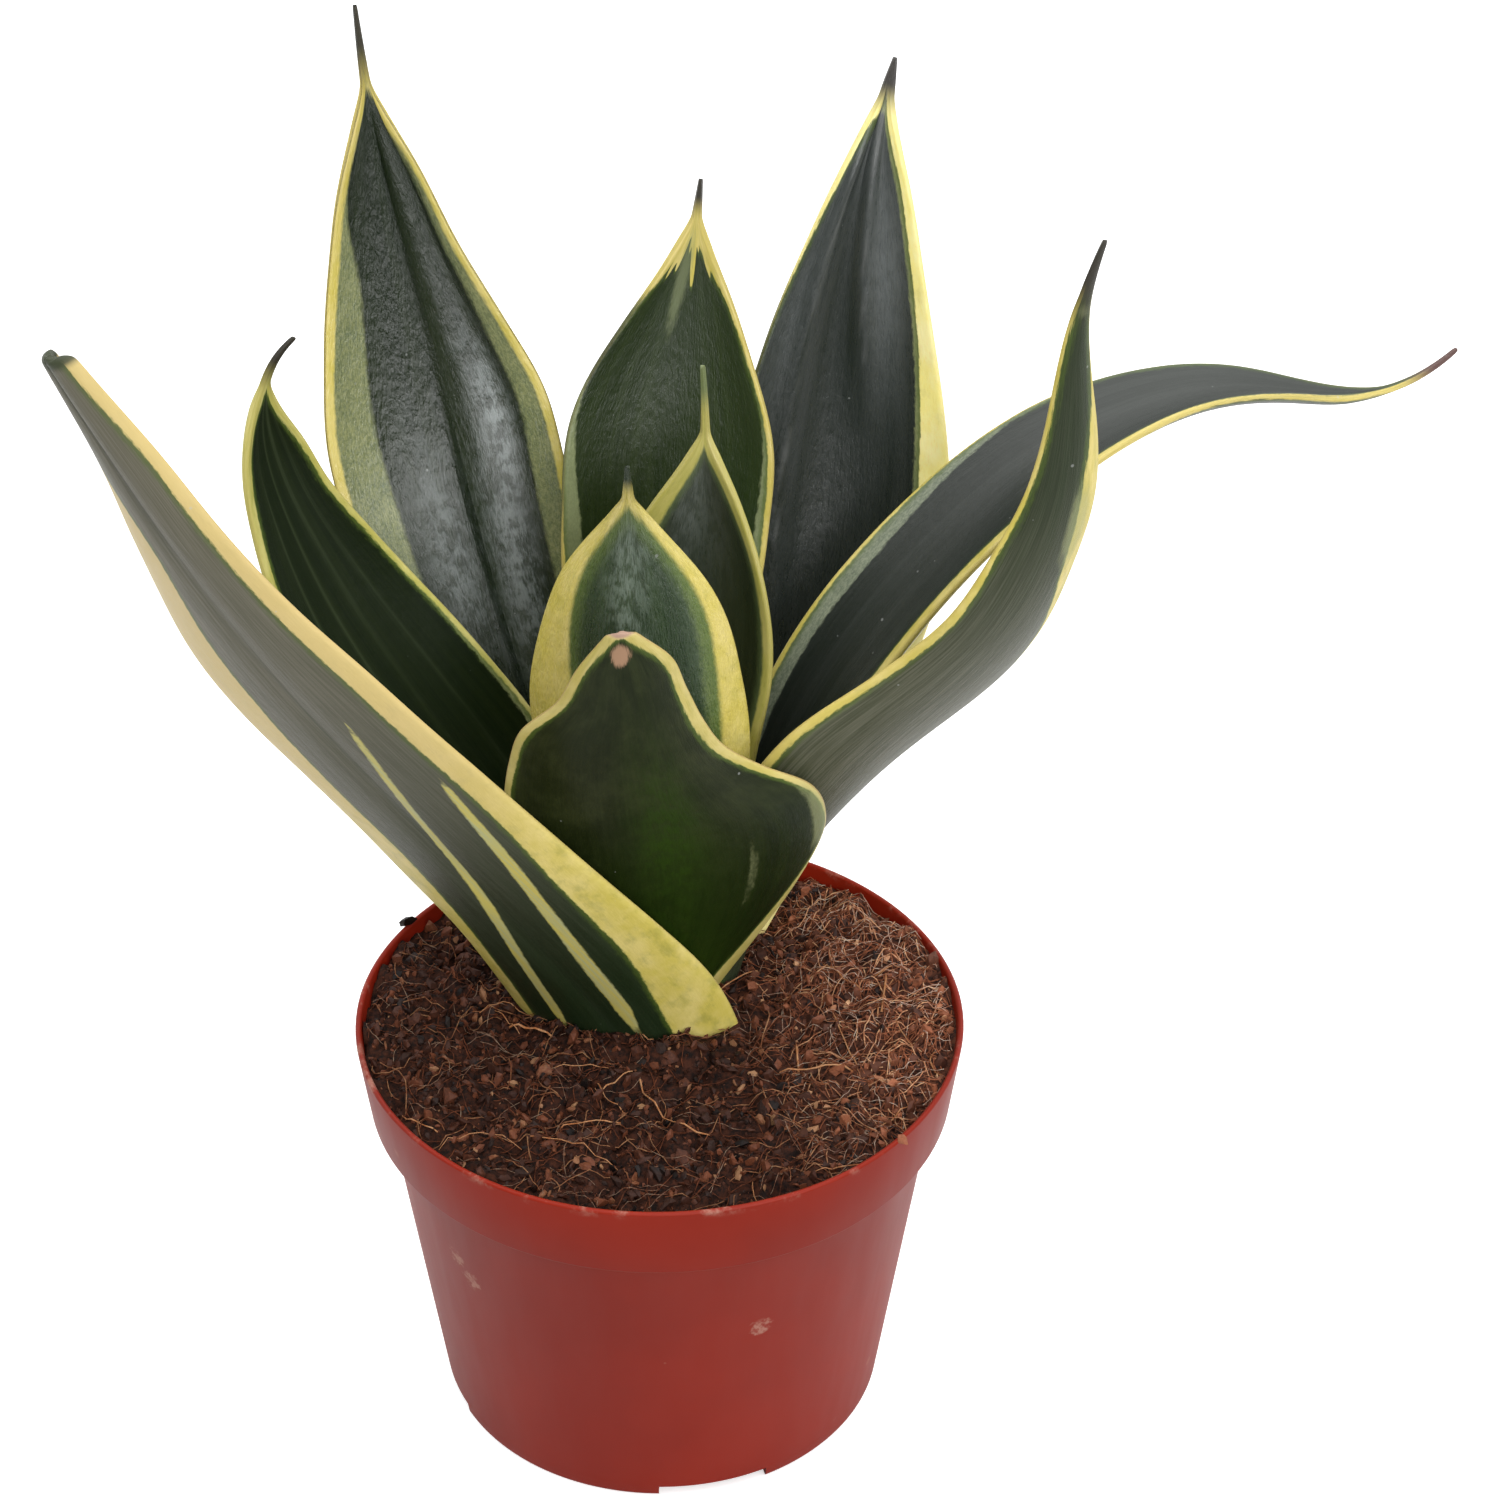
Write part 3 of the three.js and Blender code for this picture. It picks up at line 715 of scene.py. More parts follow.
def leafMaterial(name, look, effects, seed):
    material, tree, shader = newMaterial(name)
    skin = addNode(tree, "ShaderNodeUVMap", uv_map="skin").outputs[0]
    skin = stretch(tree, skin, (1, 1, 1), (0, 0, 7.3 * seed))  # no two leaves look the same
    fibres = place(tree, effects["fibres"], {"Skin": skin})

    def band(depth, wander, speckle, softness):
        return place(tree, effects["unevenEdge"], {
            "Depth": depth, "Skin": skin, "Wander": wander, "Speckle": speckle,
            "Softness": softness})["Mask"]

    fine = calc(tree, "MULTIPLY", between(tree, fibres["Fine"], 0.35, 0.7), look["streaks"])
    blotchy = calc(tree, "MULTIPLY", between(tree, fibres["Blotch"], 0.35, 0.68), 1 - look["streaks"])
    pattern = calc(tree, "ADD", fine, blotchy)
    lit = calc(tree, "MULTIPLY_ADD", pattern, 0.4, between(tree, fibres["Broad"], 0.35, 0.7, 0, 0.6))
    green = blend(tree, lit, look["green"], look["greenLight"])
    outer = blend(tree, pattern, look["outer"], look["outerLight"])
    # Waxy bloom, partly a painted sheen, mottled where the skin is hollow
    mottle = calc(tree, "MULTIPLY", attributeOf(tree, "waxAndSheen"),
                  between(tree, fibres["Height"], 0.42, 0.58, look["mottle"], 1))
    colour = blend(tree, attributeOf(tree, "outerFace"), green, outer)
    colour = blend(tree, mottle, colour, look["waxAndSheen"])
    # Hair-thin lines, and painted highlights along the creases
    line = calc(tree, "MULTIPLY", attributeOf(tree, "line"), between(tree, fibres["Broad"], 0.3, 0.6))
    colour = blend(tree, between(tree, line, 0, 1, 0, 0.4), colour, look["lineAndCreaseSheenColour"])

    grain = noiseOf(tree, stretch(tree, skin, (2.6, 1.5, 1)), 1.0, 5.0, 0.75)
    tone = between(tree, fibres["Blotch"], 0.3, 0.7, 0, 1 - look["grainShare"])
    tone = calc(tree, "ADD", tone, between(tree, grain, 0.4, 0.6, 0, look["grainShare"]))
    pale = blend(tree, tone, look["paleDark"], look["pale"])
    paleMask = band(attributeOf(tree, "pale"), look["wander"], 1.3, look["softness"] * 1.6)
    colour = blend(tree, paleMask, colour, pale)

    depth = attributeOf(tree, "yellow")
    nearYellow = calc(tree, "ADD", depth, look["edgeWidth"])
    edgeMask = band(nearYellow, look["wander"], 1.6, look["edgeWidth"] * 0.9)
    colour = blend(tree, calc(tree, "MULTIPLY", edgeMask, look["edgeShare"]), colour, look["edgeGreen"])
    yellow = blend(tree, between(tree, fibres["Blotch"], 0.35, 0.7), look["yellow"], look["cream"])
    stain = between(tree, noiseOf(tree, stretch(tree, skin, (0.3, 0.2, 1)), 1.0, 4.0, 0.6), 0.48, 0.72)
    yellow = blend(tree, calc(tree, "MULTIPLY", stain, look["stain"]), yellow, look["edgeGreen"])
    yellow = blend(tree, attributeOf(tree, "peach"), yellow, look["peach"])
    yellowMask = band(depth, look["wander"], 0.9, look["softness"])
    colour = blend(tree, yellowMask, colour, yellow)

    stripeMask = band(attributeOf(tree, "stripe"), 0.8, 0.6, 0.25)
    stripeColour = blend(tree, between(tree, fibres["Fine"], 0.3, 0.7), look["pale"], look["yellow"])
    colour = blend(tree, stripeMask, colour, stripeColour)
    marks = calc(tree, "MULTIPLY", band(attributeOf(tree, "marks"), 1.5, 1.5, 0.7), 0.5)
    colour = blend(tree, marks, colour, look["pale"])

    rim = between(tree, attributeOf(tree, "margin"), 0.5, 0.1, 0, look["rim"])
    colour = blend(tree, rim, colour, look["rimColour"])
    colour = blend(tree, band(attributeOf(tree, "scars"), 1.0, 1.5, 0.4), colour, look["scar"])
    tip = between(tree, attributeOf(tree, "toTip"), look["tipDark"], look["tipDark"] * 0.4)
    colour = blend(tree, tip, colour, look["tipColour"])
    specks = place(tree, effects["specks"], {
        "Place": objectPlace(tree), "Scale": leafSpecks["scale"], "Share": leafSpecks["share"]})["Mask"]
    specks = calc(tree, "MULTIPLY", specks, leafSpecks["strength"])
    colour = blend(tree, specks, colour, leafSpecks["colour"])

    feed(tree, shader.inputs["Base Color"], colour)
    # Painted glow: the yellow margins emit, standing in for light that comes through them
    paintedGlowShare = calc(tree, "MULTIPLY", yellowMask, calc(tree, "SUBTRACT", 1.0, tip))
    feed(tree, shader.inputs["Emission Color"], blend(tree, paintedGlowShare, (0, 0, 0, 1), yellow))
    shader.inputs["Emission Strength"].default_value = look["glow"]
    roughness = calc(tree, "MULTIPLY_ADD", fibres["Scratch"], 0.3, look["roughness"] - 0.15)
    feed(tree, shader.inputs["Roughness"], roughness)
    tilt = addNode(tree, "ShaderNodeBump", {
        "Height": attributeOf(tree, "tilt"), "Strength": 1.0, "Distance": mm})
    bump = addNode(tree, "ShaderNodeBump", {
        "Height": fibres["Height"], "Strength": look["relief"], "Distance": 0.5 * mm,
        "Normal": tilt.outputs[0]})
    feed(tree, shader.inputs["Normal"], bump.outputs[0])
    shader.inputs["Specular IOR Level"].default_value = look["specular"]
    return material


def buildLeaf(name, leaf, effects, seed):
    look = {**usualLook, **leaf["look"]}
    deselectAll()
    bpy.ops.mesh.primitive_grid_add(
        x_subdivisions=blade["columns"], y_subdivisions=blade["rows"], size=2)
    obj = bpy.context.object
    mesh = obj.data
    flat = vertexPlaces(mesh)
    t = flat[:, 0] * (1 + blade["closer"] - blade["closer"] * flat[:, 0] ** 2)
    up = (flat[:, 1] + 1) / 2
    start = spikeStart(leaf)
    rowsBelow = min(start, blade["rowsBelowSpike"])
    s = np.where(up < rowsBelow, up / rowsBelow * start,
                 start + (up - rowsBelow) / (1 - rowsBelow) * (1 - start))
    middle, thickness, acrossWay = bladeShape(leaf, look, t, s)
    moveVertices(mesh, middle * mm)
    setFloats(mesh, "across", t)
    setFloats(mesh, "upLeaf", s)
    most = thickness.max()
    weights = obj.vertex_groups.new(name="thickness")
    for index, value in enumerate(thickness / most):
        weights.add([index], value, "REPLACE")
    wall = obj.modifiers.new("wall", "SOLIDIFY")
    wall.thickness = most * mm
    wall.offset = 0
    wall.vertex_group = "thickness"
    applyModifiers(obj)

    moved = vertexPlaces(mesh)[:len(middle)] / mm - middle  # the first sheet's way out
    first = 1.0 if np.sum(moved * acrossWay) > 0 else -1.0
    setFloats(mesh, "side", np.repeat((first, -first), len(middle)))
    rounding = obj.modifiers.new("rounding", "SUBSURF")
    rounding.levels = rounding.render_levels = 1
    applyModifiers(obj)
    markLeaf(obj.data, leaf, look)
    smooth(obj)
    handOver(obj, name + "_blade", name, leafMaterial(name + "_skin", look, effects, seed))


# Pot

pot = {
    "height": 87,
    "rim": 60,
    "collar": 16.5,  # height of the straight band under the rim
    "collarFoot": 57.7,
    "shoulder": 54.5,
    "foot": 44.5,
    "innerFoot": 44,
    "wall": 1.2,
    "lip": 0.4,
    "footBevel": 0.7,
    "floor": 4.5,
    "pad": 14,
    "channel": 3,
    "channelSlope": 2,
    "footRing": 6.5,
    "notchWidth": 22,
    "notchHeight": 2.8,
    "notches": 4,
    "firstNotch": 283,
    "hole": 4,
    "holeRing": 26,
    "steps": 144,
    "colour": (0.262, 0.015, 0.004, 1),
    "dark": (0.222, 0.012, 0.003, 1),
    "residue": (0.55, 0.33, 0.25, 1),
    "residueDepth": 2.2,  # how far down from the rim it reaches
    "scuffs": [(-40, -33.5, 54), (-37, -36, 50), (19, -47.8, 48)],
    "scuffSize": 6,
    "specks": {"scale": 120.0, "share": 0.06, "strength": 0.25},
    "softEdge": 0.3,
    "roundBelow": 60,  # above this height the thin wall is narrower and not quite round
    "narrower": 0.35,
    "unround": 0.2,
    "unroundScale": 28,
}


def potProfile():
    collarFoot = pot["height"] - pot["collar"]
    ring = pot["foot"] - pot["footRing"]
    wall, lip, slope = pot["wall"], pot["lip"], pot["channelSlope"]
    above = 1.2 * pot["notchHeight"]  # a row here keeps the wall's shading clear of the notches
    share = (above - pot["footBevel"]) / (collarFoot - pot["footBevel"])
    aboveNotch = (pot["foot"] + (pot["shoulder"] - pot["foot"]) * share, above)
    return [
        (0, 0), (pot["pad"], 0), (pot["pad"] + slope, pot["channel"]), (ring - slope, pot["channel"]),
        (ring, 0), (pot["foot"] - pot["footBevel"], 0), (pot["foot"], pot["footBevel"]), aboveNotch,
        (pot["shoulder"], collarFoot), (pot["collarFoot"] - lip, collarFoot),
        (pot["collarFoot"], collarFoot + lip), (pot["rim"], pot["height"] - lip),
        (pot["rim"] - lip, pot["height"]), (pot["rim"] - wall + lip, pot["height"]),
        (pot["rim"] - wall, pot["height"] - lip), (pot["collarFoot"] - wall, collarFoot + wall),
        (pot["shoulder"] - wall, collarFoot + wall), (pot["innerFoot"], pot["floor"]),
        (0, pot["floor"]),
    ]


# A body drawn as a profile of (radius, height), point by point, and spun about Z
def spin(profile, steps):
    deselectAll()
    bpy.ops.mesh.primitive_plane_add(size=mm)
    obj = bpy.context.object
    bpy.ops.object.mode_set(mode="EDIT")
    bpy.ops.mesh.merge(type="CENTER")
    bpy.ops.transform.translate(value=(profile[0][0] * mm, 0, profile[0][1] * mm))
    for (oldRadius, oldHeight), (radius, height) in zip(profile, profile[1:]):
        step = ((radius - oldRadius) * mm, 0, (height - oldHeight) * mm)
        bpy.ops.mesh.extrude_vertices_move(TRANSFORM_OT_translate={"value": step})
    bpy.ops.mesh.select_all(action="SELECT")
    bpy.ops.mesh.spin(steps=steps, angle=2 * math.pi, center=(0, 0, 0), axis=(0, 0, 1))
    bpy.ops.mesh.select_all(action="SELECT")
    bpy.ops.mesh.remove_doubles(threshold=0.01 * mm)
    bpy.ops.mesh.normals_make_consistent(inside=False)
    bpy.ops.object.mode_set(mode="OBJECT")
    return obj


def cutWith(obj, tool):
    cut = obj.modifiers.new("cut", "BOOLEAN")
    cut.object = tool
    cut.operation = "DIFFERENCE"
    cut.solver = "EXACT"
    applyModifiers(obj)
    bpy.data.objects.remove(tool)


def potMaterial(effects):
    material, tree, shader = newMaterial("potPlastic")
    spot = objectPlace(tree)
    cloud = noiseOf(tree, spot, 22.0, 4.0)
    streak = noiseOf(tree, stretch(tree, spot, (1, 1, 0.12)), 160.0, 4.0)
    colour = blend(tree, between(tree, cloud, 0.35, 0.7), pot["dark"], pot["colour"])
    height = addNode(tree, "ShaderNodeSeparateXYZ", {0: spot}).outputs["Z"]
    low = (pot["height"] - pot["residueDepth"]) * mm
    nearRim = between(tree, height, low, pot["height"] * mm)
    patches = between(tree, noiseOf(tree, spot, 75.0, 6.0, 0.75), 0.5, 0.72, 0, 0.75)
    residue = calc(tree, "MULTIPLY", nearRim, patches)
    grit = noiseOf(tree, spot, 420.0, 4.0, 0.7)
    for x, y, z in pot["scuffs"]:
        gap = addNode(tree, "ShaderNodeVectorMath", {
            0: spot, 1: (x * mm, y * mm, z * mm)}, operation="DISTANCE").outputs["Value"]
        near = between(tree, gap, pot["scuffSize"] * mm, mm)
        mark = between(tree, calc(tree, "MULTIPLY", grit, near), 0.4, 0.56, 0, 0.5)
        residue = calc(tree, "MAXIMUM", residue, mark)
    specks = place(tree, effects["specks"], {
        "Place": spot, "Scale": pot["specks"]["scale"], "Share": pot["specks"]["share"]})["Mask"]
    specks = calc(tree, "MULTIPLY", specks, pot["specks"]["strength"])
    residue = calc(tree, "MAXIMUM", residue, specks)
    colour = blend(tree, residue, colour, pot["residue"])
    feed(tree, shader.inputs["Base Color"], colour)
    roughness = calc(tree, "MULTIPLY_ADD", streak, 0.16, 0.36)
    feed(tree, shader.inputs["Roughness"], calc(tree, "MULTIPLY_ADD", residue, 0.3, roughness))
    relief = calc(tree, "MULTIPLY_ADD", streak, 0.5, calc(tree, "MULTIPLY", residue, 0.6))
    bump = addNode(tree, "ShaderNodeBump", {"Height": relief, "Strength": 0.12, "Distance": 0.2 * mm})
    feed(tree, shader.inputs["Normal"], bump.outputs[0])
    shader.inputs["Specular IOR Level"].default_value = 0.2
    return material


# Place at a distance from the pot's axis, at height 0
def aroundAxis(distance, azimuth):
    return distance * math.cos(azimuth) * mm, distance * math.sin(azimuth) * mm, 0


def cutNotchesAndHoles(obj):
    for i in range(pot["notches"]):
        azimuth = math.radians(pot["firstNotch"] + 360 * i / pot["notches"])
        deselectAll()
        bpy.ops.mesh.primitive_cube_add(
            size=1, rotation=(0, 0, azimuth),
            location=aroundAxis(pot["foot"] - pot["footRing"] / 2, azimuth))
        notch = bpy.context.object
        notch.scale = (3 * pot["footRing"] * mm, pot["notchWidth"] * mm, 2 * pot["notchHeight"] * mm)
        cutWith(obj, notch)
        deselectAll()
        bpy.ops.mesh.primitive_cylinder_add(
            vertices=32, radius=pot["hole"] * mm, depth=4 * pot["floor"] * mm,
            location=aroundAxis(pot["holeRing"], azimuth + math.pi / pot["notches"]))
        cutWith(obj, bpy.context.object)


def buildPot(effects):
    obj = spin(potProfile(), pot["steps"])
    soft = obj.modifiers.new("soft", "BEVEL")
    soft.width = pot["softEdge"] * mm
    soft.segments = 2
    soft.limit_method = "ANGLE"
    soft.angle_limit = math.radians(25)
    applyModifiers(obj)
    places = vertexPlaces(obj.data)
    for spot in places:
        share = (spot[2] / mm - pot["roundBelow"]) / (pot["height"] - pot["roundBelow"])
        if share > 0:
            wave = noise.noise(Vector((spot[0], spot[1], 0)) * pot["unroundScale"])
            inward = (pot["narrower"] - pot["unround"] * wave) * share * mm
            spot[:2] *= 1 - inward / math.hypot(spot[0], spot[1])
    moveVertices(obj.data, places)
    cutNotchesAndHoles(obj)
    smooth(obj, 30)
    handOver(obj, "pot_shell", "pot", potMaterial(effects))


# Soil

soil = {
    "level": 82,
    # (height, x length, y length, phase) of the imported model's shallow waves
    "waves": [(0.55, 9, 17, 1), (0.385, -21, 8, 0), (0.275, 5.5, 5.5, 2)],
    "bumps": [(2.4, 6, 3.1), (1.5, 2.4, 7.7), (0.4, 1.1, 1.3)],  # (height, length, layer) of the noise
    "edge": 58.1,  # radius at the surface
    "inside": [(56.2, 9.5), (52.8, 0.8), (43.6, 66)],  # radius and drop of each step down in the pot
    "raised": 1.0,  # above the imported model, with heaps of (x, y, radius, height) on it
    "heaps": [(-14, -12, 14, 3.2), (48, 14, 25, 2.2), (-47, 16, 20, 2.4), (-48, -12, 14, 1.4)],
    "litSideWay": (0.95, 0.3),  # painted shade at the left and painted light at the right
    "litSideFrom": 4,
    "litSideTo": 52,
    "cells": 170,
    "chips": 7000,
    "chipShapes": 9,
    "chipSize": (0.3, 1.25),  # the smallest, and how much larger the largest is
    "chipTone": (0.40, 0.24),  # middle and spread
    "onRim": [(-51, 30.5, 87.6, 1.6, 0.05), (45.5, -38.8, 86.8, 1.5, 0.7)],  # crumbs: place, size, tone
    "colour": (0.075, 0.023, 0.011, 1),
    "dark": (0.010, 0.005, 0.004, 1),
    "red": (0.23, 0.07, 0.03, 1),
    "tan": (0.45, 0.24, 0.12, 1),
    "orange": (0.34, 0.12, 0.04, 1),
    "grey": (0.40, 0.30, 0.22, 1),
    # tints of the painted shade at the left and the painted light at the right
    "paintedShadeTint": (0.62, 0.60, 0.58, 1),
    "paintedLightTint": (1.7, 1.9, 2.1, 1),
}
fibre = {
    "points": 9,
    "fewest": 4,  # one with fewer points inside the pot is left out
    "lift": 0.4,
    "curl": 0.14,
    "thinnest": 0.6,  # share of the thickness
    "thickest": 1.2,
    "chosenArch": 1.2,
}
fibreKinds = {
    "soil_fibres_tan": {
        "count": 280, "thickness": 0.12, "step": (0.5, 2.0), "bend": 0.12, "arch": 2.0,
        "colours": ("red", "tan"), "tinted": True, "seed": 11, "chosen": [],
    },
    "soil_strands": {
        "count": 8, "thickness": 0.16, "step": (0.6, 1.6), "bend": 0.08, "arch": 2.0,
        "colours": ("orange", "tan"), "tinted": False, "seed": 14,
        # (x, y, heading, length, bend in degrees, thickness) of those that stand out
        "chosen": [
            (-30, 0, -22, 11, 5, 0.42), (-10, -2, -10, 10, 10, 0.24), (-4, -18, -85, 24, 75, 0.3),
            (-13, -18, -70, 12, 20, 0.2), (-12, -22, 50, 10, -30, 0.24), (23, -14, -8, 16, 5, 0.3),
            (26.5, -4, -90, 10, 0, 0.3), (34, 2, -80, 17, 10, 0.22), (32, 19, -60, 14, 15, 0.2),
            (45, 13, -88, 12, -10, 0.34), (41, 12, 5, 8, 40, 0.24), (-42, -36, 40, 19, -85, 0.16),
            (-26, -34, -15, 22, -30, 0.18), (-24, -16, 25, 16, -50, 0.16), (-20, -31, 5, 14, 10, 0.22),
            (-36, 2, 60, 14, -90, 0.16), (17, -46, -92, 12, 0, 0.14), (40, -40, 30, 10, -30, 0.24),
            (28, -44, 20, 12, -30, 0.2), (-33, 4, -50, 9, 10, 0.16), (50, -14, 100, 16, 15, 0.18),
        ],
    },
    "soil_fibres_dark": {
        "count": 900, "thickness": 0.11, "step": (0.4, 1.7), "bend": 0.16, "arch": 1.6,
        "colours": ("colour", "red"), "tinted": True, "seed": 12, "chosen": [],
    },
    "soil_hairs": {
        "count": 420, "thickness": 0.07, "step": (0.6, 1.8), "bend": 0.11, "arch": 2.6,
        "colours": ("red", "grey"), "tinted": True, "seed": 13, "chosen": [],
    },
}


# Share from 0 at the left to 1 at the right, the side of the soil with painted light
def litSideShare(x, y):
    way = soil["litSideWay"][0] * x + soil["litSideWay"][1] * y
    return min(1, max(0, (way - soil["litSideFrom"]) / (soil["litSideTo"] - soil["litSideFrom"])))


# Height of the surface in mm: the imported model's shallow waves, with heaps, clods and grains on them
def soilHeight(x, y):
    level = soil["level"] + soil["raised"]
    for height, xLength, yLength, phase in soil["waves"]:
        level += height * math.sin(x / xLength + y / yLength + phase)
    for a, b, radius, height in soil["heaps"]:
        level += height * math.exp(-((x - a) ** 2 + (y - b) ** 2) / radius ** 2)
    for height, length, layer in soil["bumps"]:
        level += height * noise.noise(Vector((x / length, y / length, layer)))
    return level


# Paints shade by darkening a colour towards the left, and paints light by lightening it towards the
# right
def paintLightAndShadeByPlace(tree, spot, colour):
    across = addNode(tree, "ShaderNodeVectorMath", {
        0: spot, 1: (*soil["litSideWay"], 0)}, operation="DOT_PRODUCT").outputs["Value"]
    litShare = between(tree, across, soil["litSideFrom"] * mm, soil["litSideTo"] * mm)
    tint = blend(tree, litShare, soil["paintedShadeTint"], soil["paintedLightTint"])
    return blend(tree, 1.0, colour, tint, "MULTIPLY")


def soilMaterial(name, first, second, tinted):
    material, tree, shader = newMaterial(name)
    spot = objectPlace(tree)
    crumbs = noiseOf(tree, spot, 700.0, 5.0, 0.7)
    colour = blend(tree, between(tree, crumbs, 0.35, 0.65), first, second)
    # painted light and shade across the soil
    colour = paintLightAndShadeByPlace(tree, spot, colour) if tinted else colour
    feed(tree, shader.inputs["Base Color"], colour)
    bump = addNode(tree, "ShaderNodeBump", {"Height": crumbs, "Strength": 0.6, "Distance": 0.4 * mm})
    feed(tree, shader.inputs["Normal"], bump.outputs[0])
    shader.inputs["Roughness"].default_value = 0.8
    shader.inputs["Specular IOR Level"].default_value = 0.15
    return material


def chipMaterial():
    material, tree, shader = newMaterial("soilChipFinish")
    spot = objectPlace(tree)
    tone = attributeOf(tree, "tone")
    grain = noiseOf(tree, spot, 1400.0, 4.0, 0.7)
    tone = calc(tree, "MULTIPLY_ADD", calc(tree, "SUBTRACT", grain, 0.5), 0.5, tone)
    ramp = addNode(tree, "ShaderNodeValToRGB", {"Fac": tone})
    stops = ramp.color_ramp.elements
    stops[0].position, stops[0].color = 0.0, soil["dark"]
    stops[1].position, stops[1].color = 1.0, soil["tan"]
    for position, colour in ((0.45, soil["colour"]), (0.75, soil["red"])):
        stops.new(position).color = colour
    # painted light and shade across the soil
    feed(tree, shader.inputs["Base Color"], paintLightAndShadeByPlace(tree, spot, ramp.outputs[0]))
    bump = addNode(tree, "ShaderNodeBump", {"Height": grain, "Strength": 0.5, "Distance": 0.2 * mm})
    feed(tree, shader.inputs["Normal"], bump.outputs[0])
    shader.inputs["Roughness"].default_value = 0.6
    shader.inputs["Specular IOR Level"].default_value = 0.25
    return material


def buildSoilBody():
    deselectAll()
    bpy.ops.mesh.primitive_grid_add(x_subdivisions=soil["cells"], y_subdivisions=soil["cells"], size=2)
    obj = bpy.context.object
    flat = vertexPlaces(obj.data)
    x = flat[:, 0] * np.sqrt(1 - flat[:, 1] ** 2 / 2) * soil["edge"]  # the square, drawn into a disc
    y = flat[:, 1] * np.sqrt(1 - flat[:, 0] ** 2 / 2) * soil["edge"]
    heights = [soilHeight(a, b) for a, b in zip(x, y)]
    moveVertices(obj.data, np.stack((x, y, heights), -1) * mm)

    bpy.ops.object.mode_set(mode="EDIT")
    bpy.ops.mesh.select_all(action="DESELECT")
    bpy.ops.mesh.select_mode(type="EDGE")
    bpy.ops.mesh.select_non_manifold()
    outer = soil["edge"]
    for inner, drop in soil["inside"]:
        bpy.ops.mesh.extrude_region_move(TRANSFORM_OT_translate={"value": (0, 0, -drop * mm)})
        bpy.ops.transform.resize(value=(inner / outer, inner / outer, 1), center_override=(0, 0, 0))
        outer = inner
    bpy.ops.mesh.edge_face_add()
    bpy.ops.mesh.select_all(action="SELECT")
    bpy.ops.mesh.normals_make_consistent(inside=False)
    bpy.ops.object.mode_set(mode="OBJECT")
    smooth(obj, 60)
    material = soilMaterial("soilBed", soil["dark"], soil["colour"], True)
    handOver(obj, "soil_bed", "soil", material)


# Cells (1 mm) of the surface that the leaves' bases stand in
def leafBases():
    cells = set()
    across, upward = np.meshgrid(np.linspace(-1, 1, 81), np.linspace(0, 0.3, 121))
    for leaf in leaves.values():
        look = {**usualLook, **leaf["look"]}
        points = bladeShape(leaf, look, across.ravel(), upward.ravel())[0]
        near = np.abs(points[:, 2] - soil["level"]) < 0.6
        for x, y in points[near][:, :2]:
            cells.update((round(x) + i, round(y) + j) for i in (-1, 0, 1) for j in (-1, 0, 1))
    return cells


def soilSpot(draw, bases, edge):
    while True:
        x, y = draw.uniform(-edge, edge), draw.uniform(-edge, edge)
        if math.hypot(x, y) < edge and (round(x), round(y)) not in bases:
            return x, y


# Joins many small objects, in batches because one long join is slow
def joinAll(parts, batch=150):
    while len(parts) > 1:
        joined = []
        for start in range(0, len(parts), batch):
            group = parts[start:start + batch]
            deselectAll()
            for part in group:
                part.select_set(True)
            bpy.context.view_layer.objects.active = group[0]
            bpy.ops.object.join()
            joined.append(group[0])
        parts = joined
    return parts[0]


# Angular bits, each from a low ball with its corners pushed about
def chipShapes(draw):
    shapes = []
    for _ in range(soil["chipShapes"]):
        deselectAll()
        bpy.ops.mesh.primitive_ico_sphere_add(subdivisions=1, radius=1)
        shape = bpy.context.object
        places = vertexPlaces(shape.data)
        stretched = np.array([draw.uniform(0.8, 1.6), draw.uniform(0.6, 1.1), draw.uniform(0.25, 0.7)])
        rough = np.array([[draw.uniform(0.6, 1.25)] for _ in places])
        moveVertices(shape.data, places * rough * stretched)
        shapes.append(shape.data.copy())
        bpy.data.objects.remove(shape)
    return shapes


def buildChips(bases):
    draw = random.Random(4)
    shapes = chipShapes(draw)
    smallest, larger = soil["chipSize"]
    places = []
    for _ in range(soil["chips"]):
        x, y = soilSpot(draw, bases, soil["edge"] - 0.8)
        size = smallest + larger * draw.random() ** 3
        tone = min(1, max(0, draw.gauss(*soil["chipTone"])))
        places.append((x, y, soilHeight(x, y) + 0.2 * size, size, tone))
    chips = []
    for x, y, z, size, tone in places + soil["onRim"]:
        turn = Euler([draw.uniform(0, 2 * math.pi) for _ in range(3)]).to_matrix().to_4x4()
        chip = draw.choice(shapes).copy()
        middle = Matrix.Translation(Vector((x, y, z)) * mm)
        chip.transform(middle @ turn @ Matrix.Scale(size * mm, 4))
        setFloats(chip, "tone", np.full(len(chip.vertices), tone))
        chips.append(bpy.data.objects.new("chip", chip))
        bpy.context.collection.objects.link(chips[-1])
    handOver(joinAll(chips), "soil_chips", "soil", chipMaterial())


def addFibre(curve, x, y, heading, step, turns, arch, radii):
    spots = []
    for i, turn in enumerate(turns):
        if math.hypot(x, y) > soil["edge"] - 0.3:
            break
        lift = fibre["lift"] + arch * math.sin(math.pi * i / (len(turns) - 1))
        spots.append((x, y, soilHeight(x, y) + lift))
        heading += turn
        x += step * math.cos(heading)
        y += step * math.sin(heading)
    if len(spots) < fibre["fewest"]:
        return
    spline = curve.splines.new("POLY")
    spline.points.add(len(spots) - 1)
    for point, spot, radius in zip(spline.points, spots, radii):
        point.co = (*[value * mm for value in spot], 1)
        point.radius = radius


